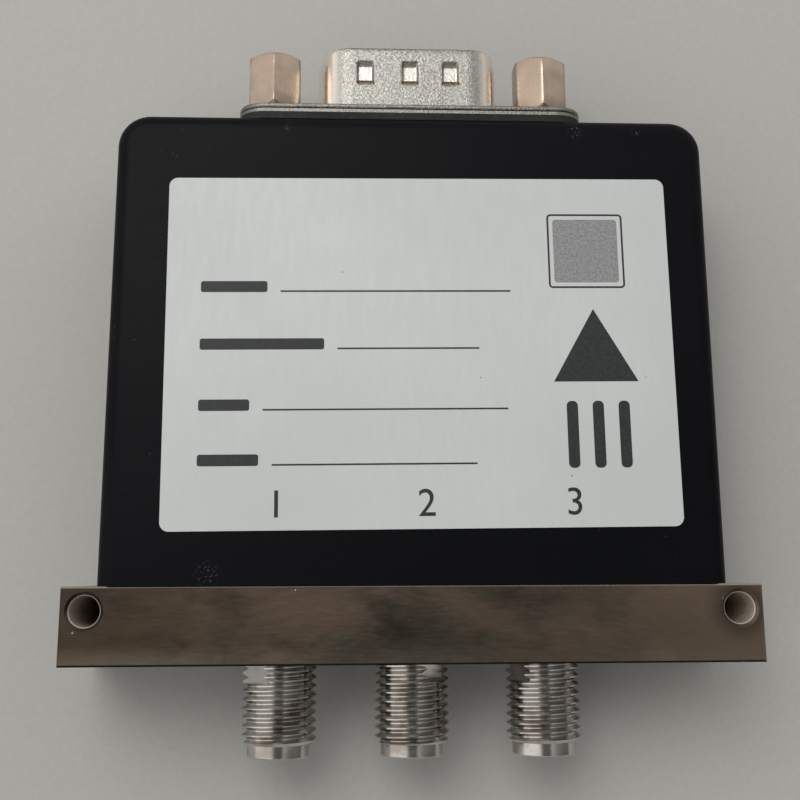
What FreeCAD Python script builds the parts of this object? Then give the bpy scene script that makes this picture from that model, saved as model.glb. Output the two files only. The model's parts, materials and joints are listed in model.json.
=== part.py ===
import FreeCAD, Part
import math
import os

import Sketcher

# Latching single-pole double-throw coaxial switch.
#
# Frame: X runs along the row of ports, Y from the ports to the control connector, Z from the
# back face to the labelled front. The origin is midway between the two mounting holes, on the
# back face. Lengths are millimetres.
#
# At rest the switch is latched to its left port: the rocker's left end is down, the left reed
# joins the left and common contacts, and the right reed is lifted against its spring.

LEFT, RIGHT = -1, 1
SIDES = ((LEFT, "left"), (RIGHT, "right"))
PORTS = ((LEFT, "left"), (0, "common"), (RIGHT, "right"))

# Driving sizes.
SIZES = (
    # Mounting plate, which is also the radio-frequency body.
    ("plate_width", 56.8),
    ("plate_height", 6.2),
    ("plate_depth", 14.6),
    ("plate_edge_break", 0.18),
    ("hole_spacing", 52.94),
    ("hole_diameter", 2.5),
    ("hole_inset", 1.93),
    ("hole_chamfer", 0.3),
    # Ports: 1/4-36 thread outside, standard interface inside.
    ("port_pitch", 11.18),
    ("thread_major", 6.25),
    ("thread_root", 5.38),
    ("thread_pitch", 0.7056),
    ("thread_root_flat", 0.09),
    ("thread_lead_chamfer", 0.3),
    ("barrel_length", 7.7),
    ("end_ring_length", 1.05),
    ("end_ring_diameter", 5.34),
    ("end_ring_chamfer", 0.1),
    ("flat_length", 1.8),
    ("flat_across", 4.9),
    ("flat_turn_left", 51.5),
    ("flat_turn_common", -51.0),
    ("flat_turn_right", 66.0),
    ("port_bore_diameter", 4.6),
    ("port_bore_depth", 1.93),
    ("stub_diameter", 5.2),
    ("stub_length", 2.4),
    ("dielectric_diameter", 4.1),
    ("contact_diameter", 1.27),
    ("contact_socket_diameter", 0.95),
    ("contact_socket_depth", 2.4),
    ("contact_slot_width", 0.18),
    ("contact_slot_depth", 1.7),
    ("contact_head_diameter", 2.0),
    ("contact_head_height", 1.0),
    # Fits.
    ("press_clearance", 0.02),
    ("running_clearance", 0.04),
    # Channel, lid and reeds.
    ("channel_depth", 2.83),
    ("channel_width", 3.6),
    ("channel_end_space", 2.0),
    ("channel_corner", 1.2),
    ("lid_thickness", 1.5),
    ("lid_side_gap", 0.55),
    ("lid_front_gap", 0.3),
    ("lid_screw_pitch", 14.5),
    ("lid_screw_offset", 4.2),
    ("screw_diameter", 1.6),
    ("screw_head_diameter", 2.8),
    ("screw_head_height", 0.9),
    ("screw_engagement", 3.0),
    ("reed_thickness", 0.2),
    ("reed_width", 1.6),
    ("reed_overhang", 0.9),
    ("reed_centre_gap", 0.4),
    ("reed_hole_diameter", 0.8),
    ("reed_travel", 0.6),
    ("contact_gap", 0.02),
    ("post_diameter", 0.8),
    ("post_reed_gap", 0.2),
    ("post_pitch", 7.8),
    ("post_engagement", 1.0),
    ("post_top_gap", 0.15),
    # Push rods, bushings and return springs.
    ("rod_diameter", 1.5),
    ("rod_stake_diameter", 1.3),
    ("rod_stake_height", 0.3),
    ("rod_head_diameter", 3.0),
    ("rod_head_height", 0.8),
    ("bushing_diameter", 2.6),
    ("bushing_flange_diameter", 3.6),
    ("bushing_flange_height", 0.4),
    ("spring_height", 2.2),
    ("spring_mean_diameter", 2.1),
    ("spring_wire", 0.25),
    ("spring_turns", 4),
    ("spring_wire_facets", 8),
    ("spring_end_gap", 0.03),
    # Rocker and its pivot.
    ("rocker_half_length", 11.8),
    ("rocker_thickness", 1.8),
    ("rocker_width", 6.0),
    ("hub_diameter", 3.6),
    ("pivot_diameter", 1.5),
    ("pivot_bushing_diameter", 2.3),
    ("pusher_reach", 1.0),
    ("pusher_diameter", 1.4),
    ("pusher_tip_diameter", 0.6),
    ("pusher_tip_height", 0.35),
    ("pusher_tip_gap", 0.05),
    ("pad_reach", 0.5),
    ("pad_length", 0.8),
    ("pad_width", 1.6),
    ("pad_inset", 0.6),
    # Frame that carries the actuator.
    ("frame_base_thickness", 1.0),
    ("frame_side_gap", 0.35),
    ("frame_base_gap", 0.4),
    ("frame_column_thickness", 2.5),
    ("frame_column_gap", 1.2),
    ("frame_tab_thickness", 2.5),
    ("frame_tab_reach", 14.0),
    ("frame_corner", 2.4),
    ("frame_window_width", 15.8),
    ("frame_window_depth", 4.6),
    ("frame_screw_pitch", 19.0),
    ("ear_thickness", 1.2),
    ("ear_width", 4.4),
    ("ear_gap", 0.4),
    ("ear_rise", 1.8),
    # Coils, cores, magnet and yoke.
    ("coil_pitch", 9.0),
    ("core_diameter", 4.0),
    ("core_neck_diameter", 2.8),
    ("pole_gap", 0.06),
    ("pole_reach", 0.9),
    ("bobbin_length", 15.0),
    ("bobbin_gap", 0.7),
    ("bobbin_flange_thickness", 0.8),
    ("bobbin_hub_diameter", 5.2),
    ("winding_inset", 0.4),
    ("yoke_thickness", 2.4),
    ("yoke_gap", 2.6),
    ("magnet_width", 4.0),
    ("magnet_depth", 7.0),
    ("magnet_pole_height", 2.4),
    ("magnet_pole_gap", 0.15),
    ("yoke_screw_offset", 2.0),
    ("yoke_screw_engagement", 3.0),
    ("yoke_screw_head_height", 0.3),
    # Position contacts under the rocker's ends.
    ("leaf_pivot_reach", 16.0),
    ("leaf_thickness", 0.2),
    ("leaf_width", 2.0),
    ("leaf_tip_overhang", 0.6),
    ("leaf_root_overhang", 0.3),
    ("leaf_pad_gap", 0.06),
    ("block_width", 4.8),
    ("block_depth", 4.8),
    ("block_clearance", 0.1),
    ("strip_thickness", 0.2),
    ("strip_width", 2.4),
    ("strip_height", 1.87),
    ("strip_tip_overhang", 0.8),
    ("button_diameter", 0.9),
    ("button_gap", 0.05),
    ("terminal_tail_width", 1.0),
    ("lead_offset", 4.6),
    ("lead_diameter", 0.6),
    ("strip_tail_reach", 17.1),
    ("terminal_tail_reach", 19.4),
    # Driver board.
    ("board_thickness", 1.2),
    ("board_side_gap", 0.6),
    ("board_front_gap", 0.6),
    ("board_corner", 0.6),
    ("board_hole_clearance", 0.1),
    ("standoff_height", 3.7),
    ("standoff_diameter", 4.0),
    ("standoff_pitch", 17.0),
    ("lead_projection", 0.5),
    ("coil_terminal_pitch", 2.5),
    ("chip_length", 5.0),
    ("chip_depth", 4.0),
    ("chip_height", 1.6),
    ("chip_reach", 12.6),
    ("diode_length", 4.2),
    ("diode_diameter", 1.8),
    ("diode_reach", 12.4),
    ("diode_offset", 2.6),
    # Cover and label.
    ("cover_width", 51.5),
    ("cover_height", 40.3),
    ("cover_setback", 0.1),
    ("cover_wall", 1.0),
    ("cover_corner", 2.8),
    ("cover_edge_radius", 1.3),
    ("label_width", 43.0),
    ("label_height", 30.0),
    ("label_thickness", 0.1),
    ("label_corner", 0.75),
    ("label_centre_x", 0.6),
    ("label_centre_y", 21.38),
    ("label_tilt", 0.45),
    # Nine-pin control connector.
    ("gasket_thickness", 0.65),
    ("flange_width", 30.81),
    ("flange_depth", 12.55),
    ("flange_corner", 2.4),
    ("rear_sheet", 0.35),
    ("front_sheet", 0.48),
    ("shell_inset", 0.94),
    ("shell_depth", 8.36),
    ("shell_wall", 0.42),
    ("shell_height", 6.35),
    ("shell_corner", 2.6),
    ("shell_slope", 10.0),
    ("dent_width", 1.45),
    ("dent_height", 2.05),
    ("dent_depth", 0.32),
    ("dent_drop", 1.24),
    ("dent_left", -4.1),
    ("dent_middle", 0.0),
    ("dent_right", 3.7),
    ("dent_slot_height", 0.3),
    ("window_land", 1.025),
    ("window_depth", 11.2),
    ("skirt_gap", 0.3),
    ("skirt_depth", 10.6),
    ("skirt_wall", 0.4),
    ("skirt_length", 4.5),
    ("insulator_drop", 6.2),
    ("insulator_rise", 0.9),
    ("insulator_clearance", 0.05),
    ("pin_pitch", 2.77),
    ("pin_row_pitch", 2.84),
    ("pin_diameter", 1.02),
    ("pin_recess", 0.75),
    ("jackscrew_edge_distance", 2.91),
    ("jackscrew_across_flats", 4.7),
    ("jackscrew_hex_length", 5.65),
    ("jackscrew_chamfer", 0.5),
    ("jackscrew_chamfer_inset", 0.55),
    ("jackscrew_bore_diameter", 2.26),
    ("jackscrew_bore_depth", 4.2),
    ("jackscrew_bore_chamfer", 0.3),
    ("jackscrew_stud_diameter", 2.84),
    ("jackscrew_stud_clearance", 0.15),
    ("washer_thickness", 0.95),
    ("washer_diameter", 4.9),
    ("washer_split", 0.5),
)

# Levels and reaches that follow from the driving sizes.
PLACES = (
    ("mid_depth", "sizes.plate_depth / 2"),
    ("plate_top", "sizes.hole_inset"),
    ("plate_bottom", "sizes.hole_inset - sizes.plate_height"),
    ("port_tip", "plate_bottom - sizes.barrel_length"),
    ("reference_plane", "port_tip + sizes.port_bore_depth"),
    ("channel_floor", "plate_top - sizes.channel_depth"),
    ("channel_half_length", "sizes.port_pitch + sizes.channel_end_space"),
    ("contact_plane", "channel_floor + sizes.contact_head_height"),
    ("reed_closed", "contact_plane + sizes.contact_gap"),
    ("lid_top", "plate_top + sizes.lid_thickness"),
    ("bushing_top", "lid_top + sizes.bushing_flange_height"),
    ("rod_arm", "sizes.port_pitch / 2"),
    ("rod_head_closed", "bushing_top + sizes.spring_height"),
    ("rod_top_closed", "rod_head_closed + sizes.rod_head_height"),
    ("rocker_tilt", "asin(sizes.reed_travel / 2 / rod_arm) / 1deg"),
    ("pusher_tip_arm", "sizes.rocker_thickness / 2 + sizes.pusher_reach"),
    (
        "pivot_height",
        "rod_top_closed + sizes.pusher_tip_gap + sizes.reed_travel / 2"
        " + pusher_tip_arm * cos(rocker_tilt * 1deg)",
    ),
    ("frame_base_top", "lid_top + sizes.frame_base_thickness"),
    ("core_edge", "sizes.coil_pitch + sizes.core_diameter / 2"),
    (
        "pole_face",
        "pivot_height + core_edge * sin(rocker_tilt * 1deg)"
        " + sizes.rocker_thickness / 2 * cos(rocker_tilt * 1deg) + sizes.pole_gap",
    ),
    ("bobbin_bottom", "pole_face + sizes.pole_reach"),
    ("bobbin_top", "bobbin_bottom + sizes.bobbin_length"),
    ("yoke_top", "bobbin_top + sizes.yoke_thickness"),
    ("magnet_pole_bottom", "pivot_height + sizes.hub_diameter / 2 + sizes.magnet_pole_gap"),
    ("magnet_bottom", "magnet_pole_bottom + sizes.magnet_pole_height"),
    ("board_bottom", "yoke_top + sizes.standoff_height"),
    ("board_top", "board_bottom + sizes.board_thickness"),
    ("inner_depth", "sizes.plate_depth - 2 * (sizes.cover_setback + sizes.cover_wall)"),
    ("inner_width", "sizes.cover_width - 2 * sizes.cover_wall"),
    ("lid_width", "inner_width - 2 * sizes.lid_side_gap"),
    ("lid_depth", "inner_depth - 2 * sizes.lid_front_gap"),
    ("frame_half_width", "inner_width / 2 - sizes.frame_side_gap"),
    ("frame_base_depth", "inner_depth - 2 * sizes.frame_base_gap"),
    ("frame_column_depth", "inner_depth - 2 * sizes.frame_column_gap"),
    ("bobbin_flange_diameter", "inner_depth - 2 * sizes.bobbin_gap"),
    ("winding_diameter", "bobbin_flange_diameter - 2 * sizes.winding_inset"),
    ("yoke_depth", "inner_depth - 2 * sizes.yoke_gap"),
    ("column_inner", "frame_half_width - sizes.frame_column_thickness"),
    ("board_width", "2 * (column_inner - sizes.board_side_gap)"),
    ("board_depth", "inner_depth - 2 * sizes.board_front_gap"),
    ("cover_top", "plate_top + sizes.cover_height"),
    ("cover_front", "sizes.plate_depth - sizes.cover_setback"),
    ("frame_top", "cover_top - sizes.cover_wall"),
    ("gasket_top", "cover_top + sizes.gasket_thickness"),
    ("rear_sheet_top", "gasket_top + sizes.rear_sheet"),
    ("flange_top", "rear_sheet_top + sizes.front_sheet"),
    ("shell_top", "flange_top + sizes.shell_height"),
    ("hex_bottom", "flange_top + sizes.washer_thickness"),
    ("hex_top", "hex_bottom + sizes.jackscrew_hex_length"),
    ("jackscrew_reach", "sizes.flange_width / 2 - sizes.jackscrew_edge_distance"),
    ("stud_hole_diameter", "sizes.jackscrew_stud_diameter + 2 * sizes.jackscrew_stud_clearance"),
    ("window_width", "2 * (jackscrew_reach - sizes.window_land) - stud_hole_diameter"),
    ("skirt_width", "window_width - 2 * sizes.skirt_gap"),
    ("shell_width", "window_width - 2 * sizes.shell_inset"),
    ("pad_reach_x", "sizes.rocker_half_length - sizes.pad_inset"),
    ("pad_arm", "sizes.rocker_thickness / 2 + sizes.pad_reach"),
    ("pad_swing", "pad_reach_x * sin(rocker_tilt * 1deg)"),
    ("leaf_length", "sizes.leaf_pivot_reach - pad_reach_x"),
    ("leaf_tilt", "atan(pad_swing / leaf_length) / 1deg"),
    (
        "leaf_height",
        "pivot_height - pad_arm * cos(rocker_tilt * 1deg) - sizes.leaf_pad_gap"
        " - sizes.leaf_thickness / 2 / cos(leaf_tilt * 1deg)",
    ),
    ("strip_bottom", "frame_base_top + sizes.strip_height"),
    ("strip_top", "strip_bottom + sizes.strip_thickness"),
    ("strip_tip", "pad_reach_x - sizes.strip_tip_overhang"),
    ("block_inner", "sizes.leaf_pivot_reach + sizes.leaf_root_overhang"),
    ("block_outer", "block_inner + sizes.block_width"),
    ("terminal_bottom", "leaf_height - sizes.leaf_thickness / 2"),
    ("post_offset", "sizes.reed_width / 2 + sizes.post_reed_gap + sizes.post_diameter / 2"),
    ("lead_top", "board_top + sizes.lead_projection"),
    ("lead_depth", "mid_depth - sizes.lead_offset"),
)

BACK_TO_FRONT = "z"
LEFT_TO_RIGHT = "x"
UPWARD = "y"
TURNS = {
    LEFT_TO_RIGHT: FreeCAD.Rotation(FreeCAD.Vector(0, 1, 0), 90),
    UPWARD: FreeCAD.Rotation(FreeCAD.Vector(1, 0, 0), -90),
    BACK_TO_FRONT: FreeCAD.Rotation(),
}

doc = FreeCAD.newDocument("coaxial_switch")
nodes = []


def make_sheet():
    """The driving sizes, one row each."""
    sheet = doc.addObject("Spreadsheet::Sheet", "sizes")
    for row, (alias, value) in enumerate(SIZES, start=1):
        sheet.set(f"A{row}", alias)
        sheet.set(f"B{row}", str(value))
        sheet.setAlias(f"B{row}", alias)
    return sheet


def make_places():
    """The derived levels, each bound to the sheet."""
    variables = doc.addObject("App::VarSet", "places")
    for name, formula in PLACES:
        variables.addProperty("App::PropertyFloat", name, "Places", "")
        variables.setExpression(name, formula)
    return variables


sizes = make_sheet()
doc.recompute()
places = make_places()
doc.recompute()


def size(alias):
    return float(sizes.get(alias))


def place(name):
    return float(getattr(places, name))


def node(name, feature):
    """Name a finished piece."""
    feature.Label = name
    nodes.append(feature)
    return feature


def bind(feature, **formulas):
    for name, formula in formulas.items():
        feature.setExpression(name, str(formula))
    return feature


def seat(feature, spot):
    """Hold a piece's base point at three formulas."""
    for axis, formula in zip("xyz", spot):
        feature.setExpression(f"Placement.Base.{axis}", str(formula))
    return feature


def box(name, corner, lengths):
    """A block from its lowest corner."""
    block = doc.addObject("Part::Box", name)
    bind(block, Length=lengths[0], Width=lengths[1], Height=lengths[2])
    return seat(block, corner)


def centred_box(name, centre, lengths):
    """A block centred on X and Z that stands on its Y level."""
    corner = (
        f"{centre[0]} - ({lengths[0]}) / 2",
        centre[1],
        f"{centre[2]} - ({lengths[2]}) / 2",
    )
    return box(name, corner, lengths)


def cylinder(name, direction, base, diameter, length):
    post = doc.addObject("Part::Cylinder", name)
    post.Placement = FreeCAD.Placement(FreeCAD.Vector(), TURNS[direction])
    bind(post, Radius=f"({diameter}) / 2", Height=length)
    return seat(post, base)


def cone(name, direction, base, low_diameter, high_diameter, length):
    taper = doc.addObject("Part::Cone", name)
    taper.Placement = FreeCAD.Placement(FreeCAD.Vector(), TURNS[direction])
    bind(taper, Radius1=f"({low_diameter}) / 2", Radius2=f"({high_diameter}) / 2", Height=length)
    return seat(taper, base)


def group(name, parts):
    """Separate solids that share one node."""
    compound = doc.addObject("Part::Compound", name)
    compound.Links = parts
    return compound


def fuse(name, parts):
    union = doc.addObject("Part::MultiFuse", name)
    union.Shapes = parts
    return union


def cut(name, base, tools):
    result = doc.addObject("Part::Cut", name)
    result.Base = base
    result.Tool = tools[0] if len(tools) == 1 else fuse(name + "_tools", tools)
    return result


def common(name, first, second):
    overlap = doc.addObject("Part::Common", name)
    overlap.Base = first
    overlap.Tool = second
    return overlap


def computed(name, shape, placement=None):
    """A piece whose shape is worked out from the sheet's values."""
    feature = doc.addObject("Part::Feature", name)
    feature.Shape = shape
    if placement is not None:
        feature.Placement = placement
    return feature


def tilt(feature, spot, angle):
    """Turn a piece about the Z line through a point, both given by formulas."""
    feature.Placement = FreeCAD.Placement(
        FreeCAD.Vector(), FreeCAD.Rotation(FreeCAD.Vector(0, 0, 1), 1)
    )
    feature.setExpression("Placement.Rotation.Angle", angle)
    return seat(feature, spot)


# Sketches.


def origin_plane(body, role):
    return [plane for plane in body.Origin.OriginFeatures if plane.Role == role][0]


def sketch_on(body, name, role, level):
    """A sketch on an origin plane, moved along the plane's normal to a level."""
    sketch = body.newObject("Sketcher::SketchObject", name)
    sketch.AttachmentSupport = [(origin_plane(body, role), "")]
    sketch.MapMode = "FlatFace"
    sketch.setExpression("AttachmentOffset.Base.z", str(level))
    return sketch


def hold(sketch, constraint, name, formula):
    """Add a named constraint and bind it."""
    index = sketch.addConstraint(constraint)
    sketch.renameConstraint(index, name)
    sketch.setExpression(f"Constraints.{name}", str(formula))


def draw_rectangle(sketch, width, height, centre, corner=None):
    """A rectangle held by its size and centre, with rounded corners where a radius is given."""
    reach = 10.0
    radius = 1.0 if corner else 0.0
    first = sketch.GeometryCount
    points = ((-1, -1), (1, -1), (1, 1), (-1, 1))
    for index in range(4):
        ax, ay = points[index]
        bx, by = points[(index + 1) % 4]
        dx = (bx - ax) / 2 * radius
        dy = (by - ay) / 2 * radius
        start = FreeCAD.Vector(ax * reach + dx, ay * reach + dy, 0)
        end = FreeCAD.Vector(bx * reach - dx, by * reach - dy, 0)
        sketch.addGeometry(Part.LineSegment(start, end))
    for index in range(4):
        kind = "Horizontal" if index % 2 == 0 else "Vertical"
        sketch.addConstraint(Sketcher.Constraint(kind, first + index))
    if corner:
        for index in range(4):
            bx, by = points[(index + 1) % 4]
            middle = FreeCAD.Vector(bx * (reach - radius), by * (reach - radius), 0)
            circle = Part.Circle(middle, FreeCAD.Vector(0, 0, 1), radius)
            begin = math.pi / 2 * (index - 1)
            sketch.addGeometry(Part.ArcOfCircle(circle, begin, begin + math.pi / 2))
        for index in range(4):
            arc = first + 4 + index
            sketch.addConstraint(Sketcher.Constraint("Tangent", first + index, 2, arc, 1))
            following = first + (index + 1) % 4
            sketch.addConstraint(Sketcher.Constraint("Tangent", arc, 2, following, 1))
            if index:
                sketch.addConstraint(Sketcher.Constraint("Equal", first + 4, arc))
        hold(sketch, Sketcher.Constraint("Radius", first + 4, radius), "corner", corner)
    else:
        for index in range(4):
            following = first + (index + 1) % 4
            joint = Sketcher.Constraint("Coincident", first + index, 2, following, 1)
            sketch.addConstraint(joint)
    wide = Sketcher.Constraint("DistanceX", first + 3, 1, first + 1, 1, 2 * reach)
    hold(sketch, wide, "wide", width)
    high = Sketcher.Constraint("DistanceY", first, 1, first + 2, 1, 2 * reach)
    hold(sketch, high, "high", height)
    low = Sketcher.Constraint("DistanceX", -1, 1, first + 3, 1, -reach)
    hold(sketch, low, "left_edge", f"{centre[0]} - ({width}) / 2")
    base = Sketcher.Constraint("DistanceY", -1, 1, first, 1, -reach)
    hold(sketch, base, "low_edge", f"{centre[1]} - ({height}) / 2")


def draw_circles(sketch, diameter, centres):
    """Equal circles, each held by its centre."""
    for index, (x, y) in enumerate(centres):
        spot = FreeCAD.Vector(float(index + 1) * 3, float(index + 1), 0)
        circle = sketch.addGeometry(Part.Circle(spot, FreeCAD.Vector(0, 0, 1), 1.0))
        across = Sketcher.Constraint("DistanceX", -1, 1, circle, 3, spot.x)
        hold(sketch, across, f"across_{index}", x)
        along = Sketcher.Constraint("DistanceY", -1, 1, circle, 3, spot.y)
        hold(sketch, along, f"along_{index}", y)
        hold(sketch, Sketcher.Constraint("Diameter", circle, 2.0), f"diameter_{index}", diameter)


def pad(body, sketch, name, length):
    feature = body.newObject("PartDesign::Pad", name)
    feature.Profile = sketch
    feature.setExpression("Length", str(length))
    doc.recompute()
    return feature


def pocket(body, sketch, name, length, against_normal):
    """Cut a sketch into the body; the cut has to take material away."""
    before = body.Shape.Volume
    feature = body.newObject("PartDesign::Pocket", name)
    feature.Profile = sketch
    feature.Reversed = not against_normal
    feature.setExpression("Length", str(length))
    doc.recompute()
    if body.Shape.Volume >= before:
        raise ValueError(f"{name} removes nothing")
    return feature


def edge_names(shape, wanted):
    """Names of the edges that pass a test."""
    return [f"Edge{index}" for index, edge in enumerate(shape.Edges, start=1) if wanted(edge)]


def plate_body(name, outline, corner, centre, bottom, thickness, holes):
    """A flat sheet square to Y with rounded corners and groups of holes.

    outline is its width and depth, centre its middle across X and Z, and each group of holes
    a diameter or a window's width and depth, with its centres.
    """
    body = doc.addObject("PartDesign::Body", name)
    profile = sketch_on(body, name + "_profile", "XZ_Plane", f"-({bottom} + {thickness})")
    draw_rectangle(profile, outline[0], outline[1], centre, corner)
    pad(body, profile, name + "_pad", thickness)
    for number, (opening, spots) in enumerate(holes):
        sketch = sketch_on(body, f"{name}_hole_{number}", "XZ_Plane", f"-({bottom} + {thickness})")
        if isinstance(opening, tuple):
            draw_rectangle(sketch, opening[0], opening[1], spots[0])
        else:
            draw_circles(sketch, opening, spots)
        pocket(body, sketch, f"{name}_cut_{number}", thickness, against_normal=False)
    return body


# Radio-frequency body.


def screw_spots(pitches, offset):
    """Points at each X reach, in two rows either side of mid depth."""
    return [
        (pitch, f"places.mid_depth + {row} * ({offset})") for pitch in pitches for row in (-1, 1)
    ]


def lid_screw_spots():
    reaches = ("-sizes.lid_screw_pitch", "0", "sizes.lid_screw_pitch")
    return screw_spots(reaches, "sizes.lid_screw_offset")


def frame_screw_spots():
    reaches = ("-sizes.frame_screw_pitch", "sizes.frame_screw_pitch")
    return screw_spots(reaches, "sizes.lid_screw_offset")


def post_spots():
    return screw_spots(("-sizes.post_pitch", "sizes.post_pitch"), "places.post_offset")


def port_spots():
    return [(f"{side} * sizes.port_pitch", "places.mid_depth") for side, _ in PORTS]


def make_rf_body():
    body = doc.addObject("PartDesign::Body", "rf_body_solid")
    profile = sketch_on(body, "plate_profile", "XY_Plane", "0")
    middle = "places.plate_top - sizes.plate_height / 2"
    draw_rectangle(profile, "sizes.plate_width", "sizes.plate_height", ("0", middle))
    plate = pad(body, profile, "plate_pad", "sizes.plate_depth")

    edges = edge_names(plate.Shape, lambda edge: abs(edge.tangentAt(0).z) < 0.5)
    break_edges = body.newObject("PartDesign::Chamfer", "plate_edge_breaks")
    break_edges.Base = (plate, edges)
    bind(break_edges, Size="sizes.plate_edge_break")
    doc.recompute()

    mounting = sketch_on(body, "mounting_holes", "XY_Plane", "0")
    spots = [(f"{side} * sizes.hole_spacing / 2", "0") for side, _ in SIDES]
    draw_circles(mounting, "sizes.hole_diameter", spots)
    through = pocket(body, mounting, "mounting_cut", "sizes.plate_depth", against_normal=False)
    rims = edge_names(through.Shape, lambda edge: isinstance(edge.Curve, Part.Circle))
    bevel = body.newObject("PartDesign::Chamfer", "hole_chamfers")
    bevel.Base = (through, rims)
    bind(bevel, Size="sizes.hole_chamfer")
    doc.recompute()

    channel = sketch_on(body, "channel", "XZ_Plane", "-places.plate_top")
    length = "2 * places.channel_half_length"
    spot = ("0", "places.mid_depth")
    draw_rectangle(channel, length, "sizes.channel_width", spot, "sizes.channel_corner")
    pocket(body, channel, "channel_cut", "sizes.channel_depth", against_normal=False)

    below = "-places.plate_bottom"
    stubs = sketch_on(body, "stub_bores", "XZ_Plane", below)
    draw_circles(stubs, "sizes.stub_diameter + 2 * sizes.press_clearance", port_spots())
    pocket(body, stubs, "stub_cut", "sizes.stub_length", against_normal=True)
    beads = sketch_on(body, "dielectric_bores", "XZ_Plane", below)
    draw_circles(beads, "sizes.dielectric_diameter + 2 * sizes.press_clearance", port_spots())
    depth = "places.channel_floor - places.plate_bottom"
    pocket(body, beads, "dielectric_cut", depth, against_normal=True)

    screws = sketch_on(body, "screw_holes", "XZ_Plane", "-places.plate_top")
    spots = lid_screw_spots() + frame_screw_spots()
    draw_circles(screws, "sizes.screw_diameter + 2 * sizes.press_clearance", spots)
    pocket(body, screws, "screw_cut", "sizes.screw_engagement", against_normal=False)
    posts = sketch_on(body, "post_holes", "XZ_Plane", "-places.channel_floor")
    draw_circles(posts, "sizes.post_diameter + 2 * sizes.press_clearance", post_spots())
    pocket(body, posts, "post_cut", "sizes.post_engagement", against_normal=False)
    node("rf_body", body)


def make_lid():
    lid = plate_body(
        "rf_lid_solid",
        ("places.lid_width", "places.lid_depth"),
        "sizes.board_corner",
        ("0", "places.mid_depth"),
        "places.plate_top",
        "sizes.lid_thickness",
        (
            ("sizes.screw_diameter + 2 * sizes.press_clearance", lid_screw_spots() + frame_screw_spots()),
            (
                "sizes.bushing_diameter + 2 * sizes.press_clearance",
                [(f"{side} * places.rod_arm", "places.mid_depth") for side, _ in SIDES],
            ),
        ),
    )
    sinks = []
    for number, (x, z) in enumerate(lid_screw_spots()):
        base = (x, "places.lid_top - sizes.screw_head_height", z)
        low = "sizes.screw_diameter + 2 * sizes.press_clearance"
        high = "sizes.screw_head_diameter + 2 * sizes.press_clearance"
        sinks.append(cone(f"lid_sink_{number}", UPWARD, base, low, high, "sizes.screw_head_height"))
    node("rf_lid", cut("rf_lid_part", lid, sinks))

    screws = []
    for number, (x, z) in enumerate(lid_screw_spots()):
        head_base = (x, "places.lid_top - sizes.screw_head_height", z)
        head = cone(
            f"lid_screw_head_{number}",
            UPWARD,
            head_base,
            "sizes.screw_diameter",
            "sizes.screw_head_diameter",
            "sizes.screw_head_height",
        )
        shank_base = (x, "places.plate_top - sizes.screw_engagement + sizes.press_clearance", z)
        length = (
            "sizes.lid_thickness + sizes.screw_engagement - sizes.press_clearance"
            " - sizes.screw_head_height"
        )
        shank = cylinder(
            f"lid_screw_shank_{number}", UPWARD, shank_base, "sizes.screw_diameter", length
        )
        screws.append(fuse(f"lid_screw_{number}", [head, shank]))
    node("lid_screws", group("lid_screw_set", screws))


# Ports.


def thread_groove(major, root, pitch, root_flat, start, end):
    """The helical V groove of a 60 degree thread about +Z."""
    margin = 0.05
    inner = root / 2
    outer = major / 2 + margin
    half_root = root_flat / 2
    half_mouth = half_root + (outer - inner) * math.tan(math.radians(30))
    helix = Part.makeHelix(pitch, end - start, inner)
    corners = (
        FreeCAD.Vector(inner, 0, -half_root),
        FreeCAD.Vector(inner, 0, half_root),
        FreeCAD.Vector(outer, 0, half_mouth),
        FreeCAD.Vector(outer, 0, -half_mouth),
        FreeCAD.Vector(inner, 0, -half_root),
    )
    groove = Part.Wire(helix.Edges).makePipeShell([Part.makePolygon(corners)], True, True)
    groove.translate(FreeCAD.Vector(0, 0, start))
    return groove


def cut_thread(barrel, start, end, threaded_length):
    """Cut the thread, from the first starting angle at which the cut comes out sound."""
    major = size("thread_major")
    root = size("thread_root")
    pitch = size("thread_pitch")
    root_flat = size("thread_root_flat")
    groove = thread_groove(major, root, pitch, root_flat, start, end)
    depth = (major - root) / 2
    section = depth * (root_flat + depth * math.tan(math.radians(30)))
    expected = section * math.pi * (major + root) / 2 * threaded_length / pitch
    fuzz = 1e-5
    for turn in range(135, 495, 15):
        tool = groove.copy()
        tool.rotate(FreeCAD.Vector(), FreeCAD.Vector(0, 0, 1), turn)
        threaded = barrel.cut([tool], fuzz)
        removed = barrel.Volume - threaded.Volume
        whole = threaded.isValid() and len(threaded.Solids) == 1
        if whole and 0.8 * expected < removed < 1.2 * expected:
            return threaded
    raise ValueError("the thread can't be cut")


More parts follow.
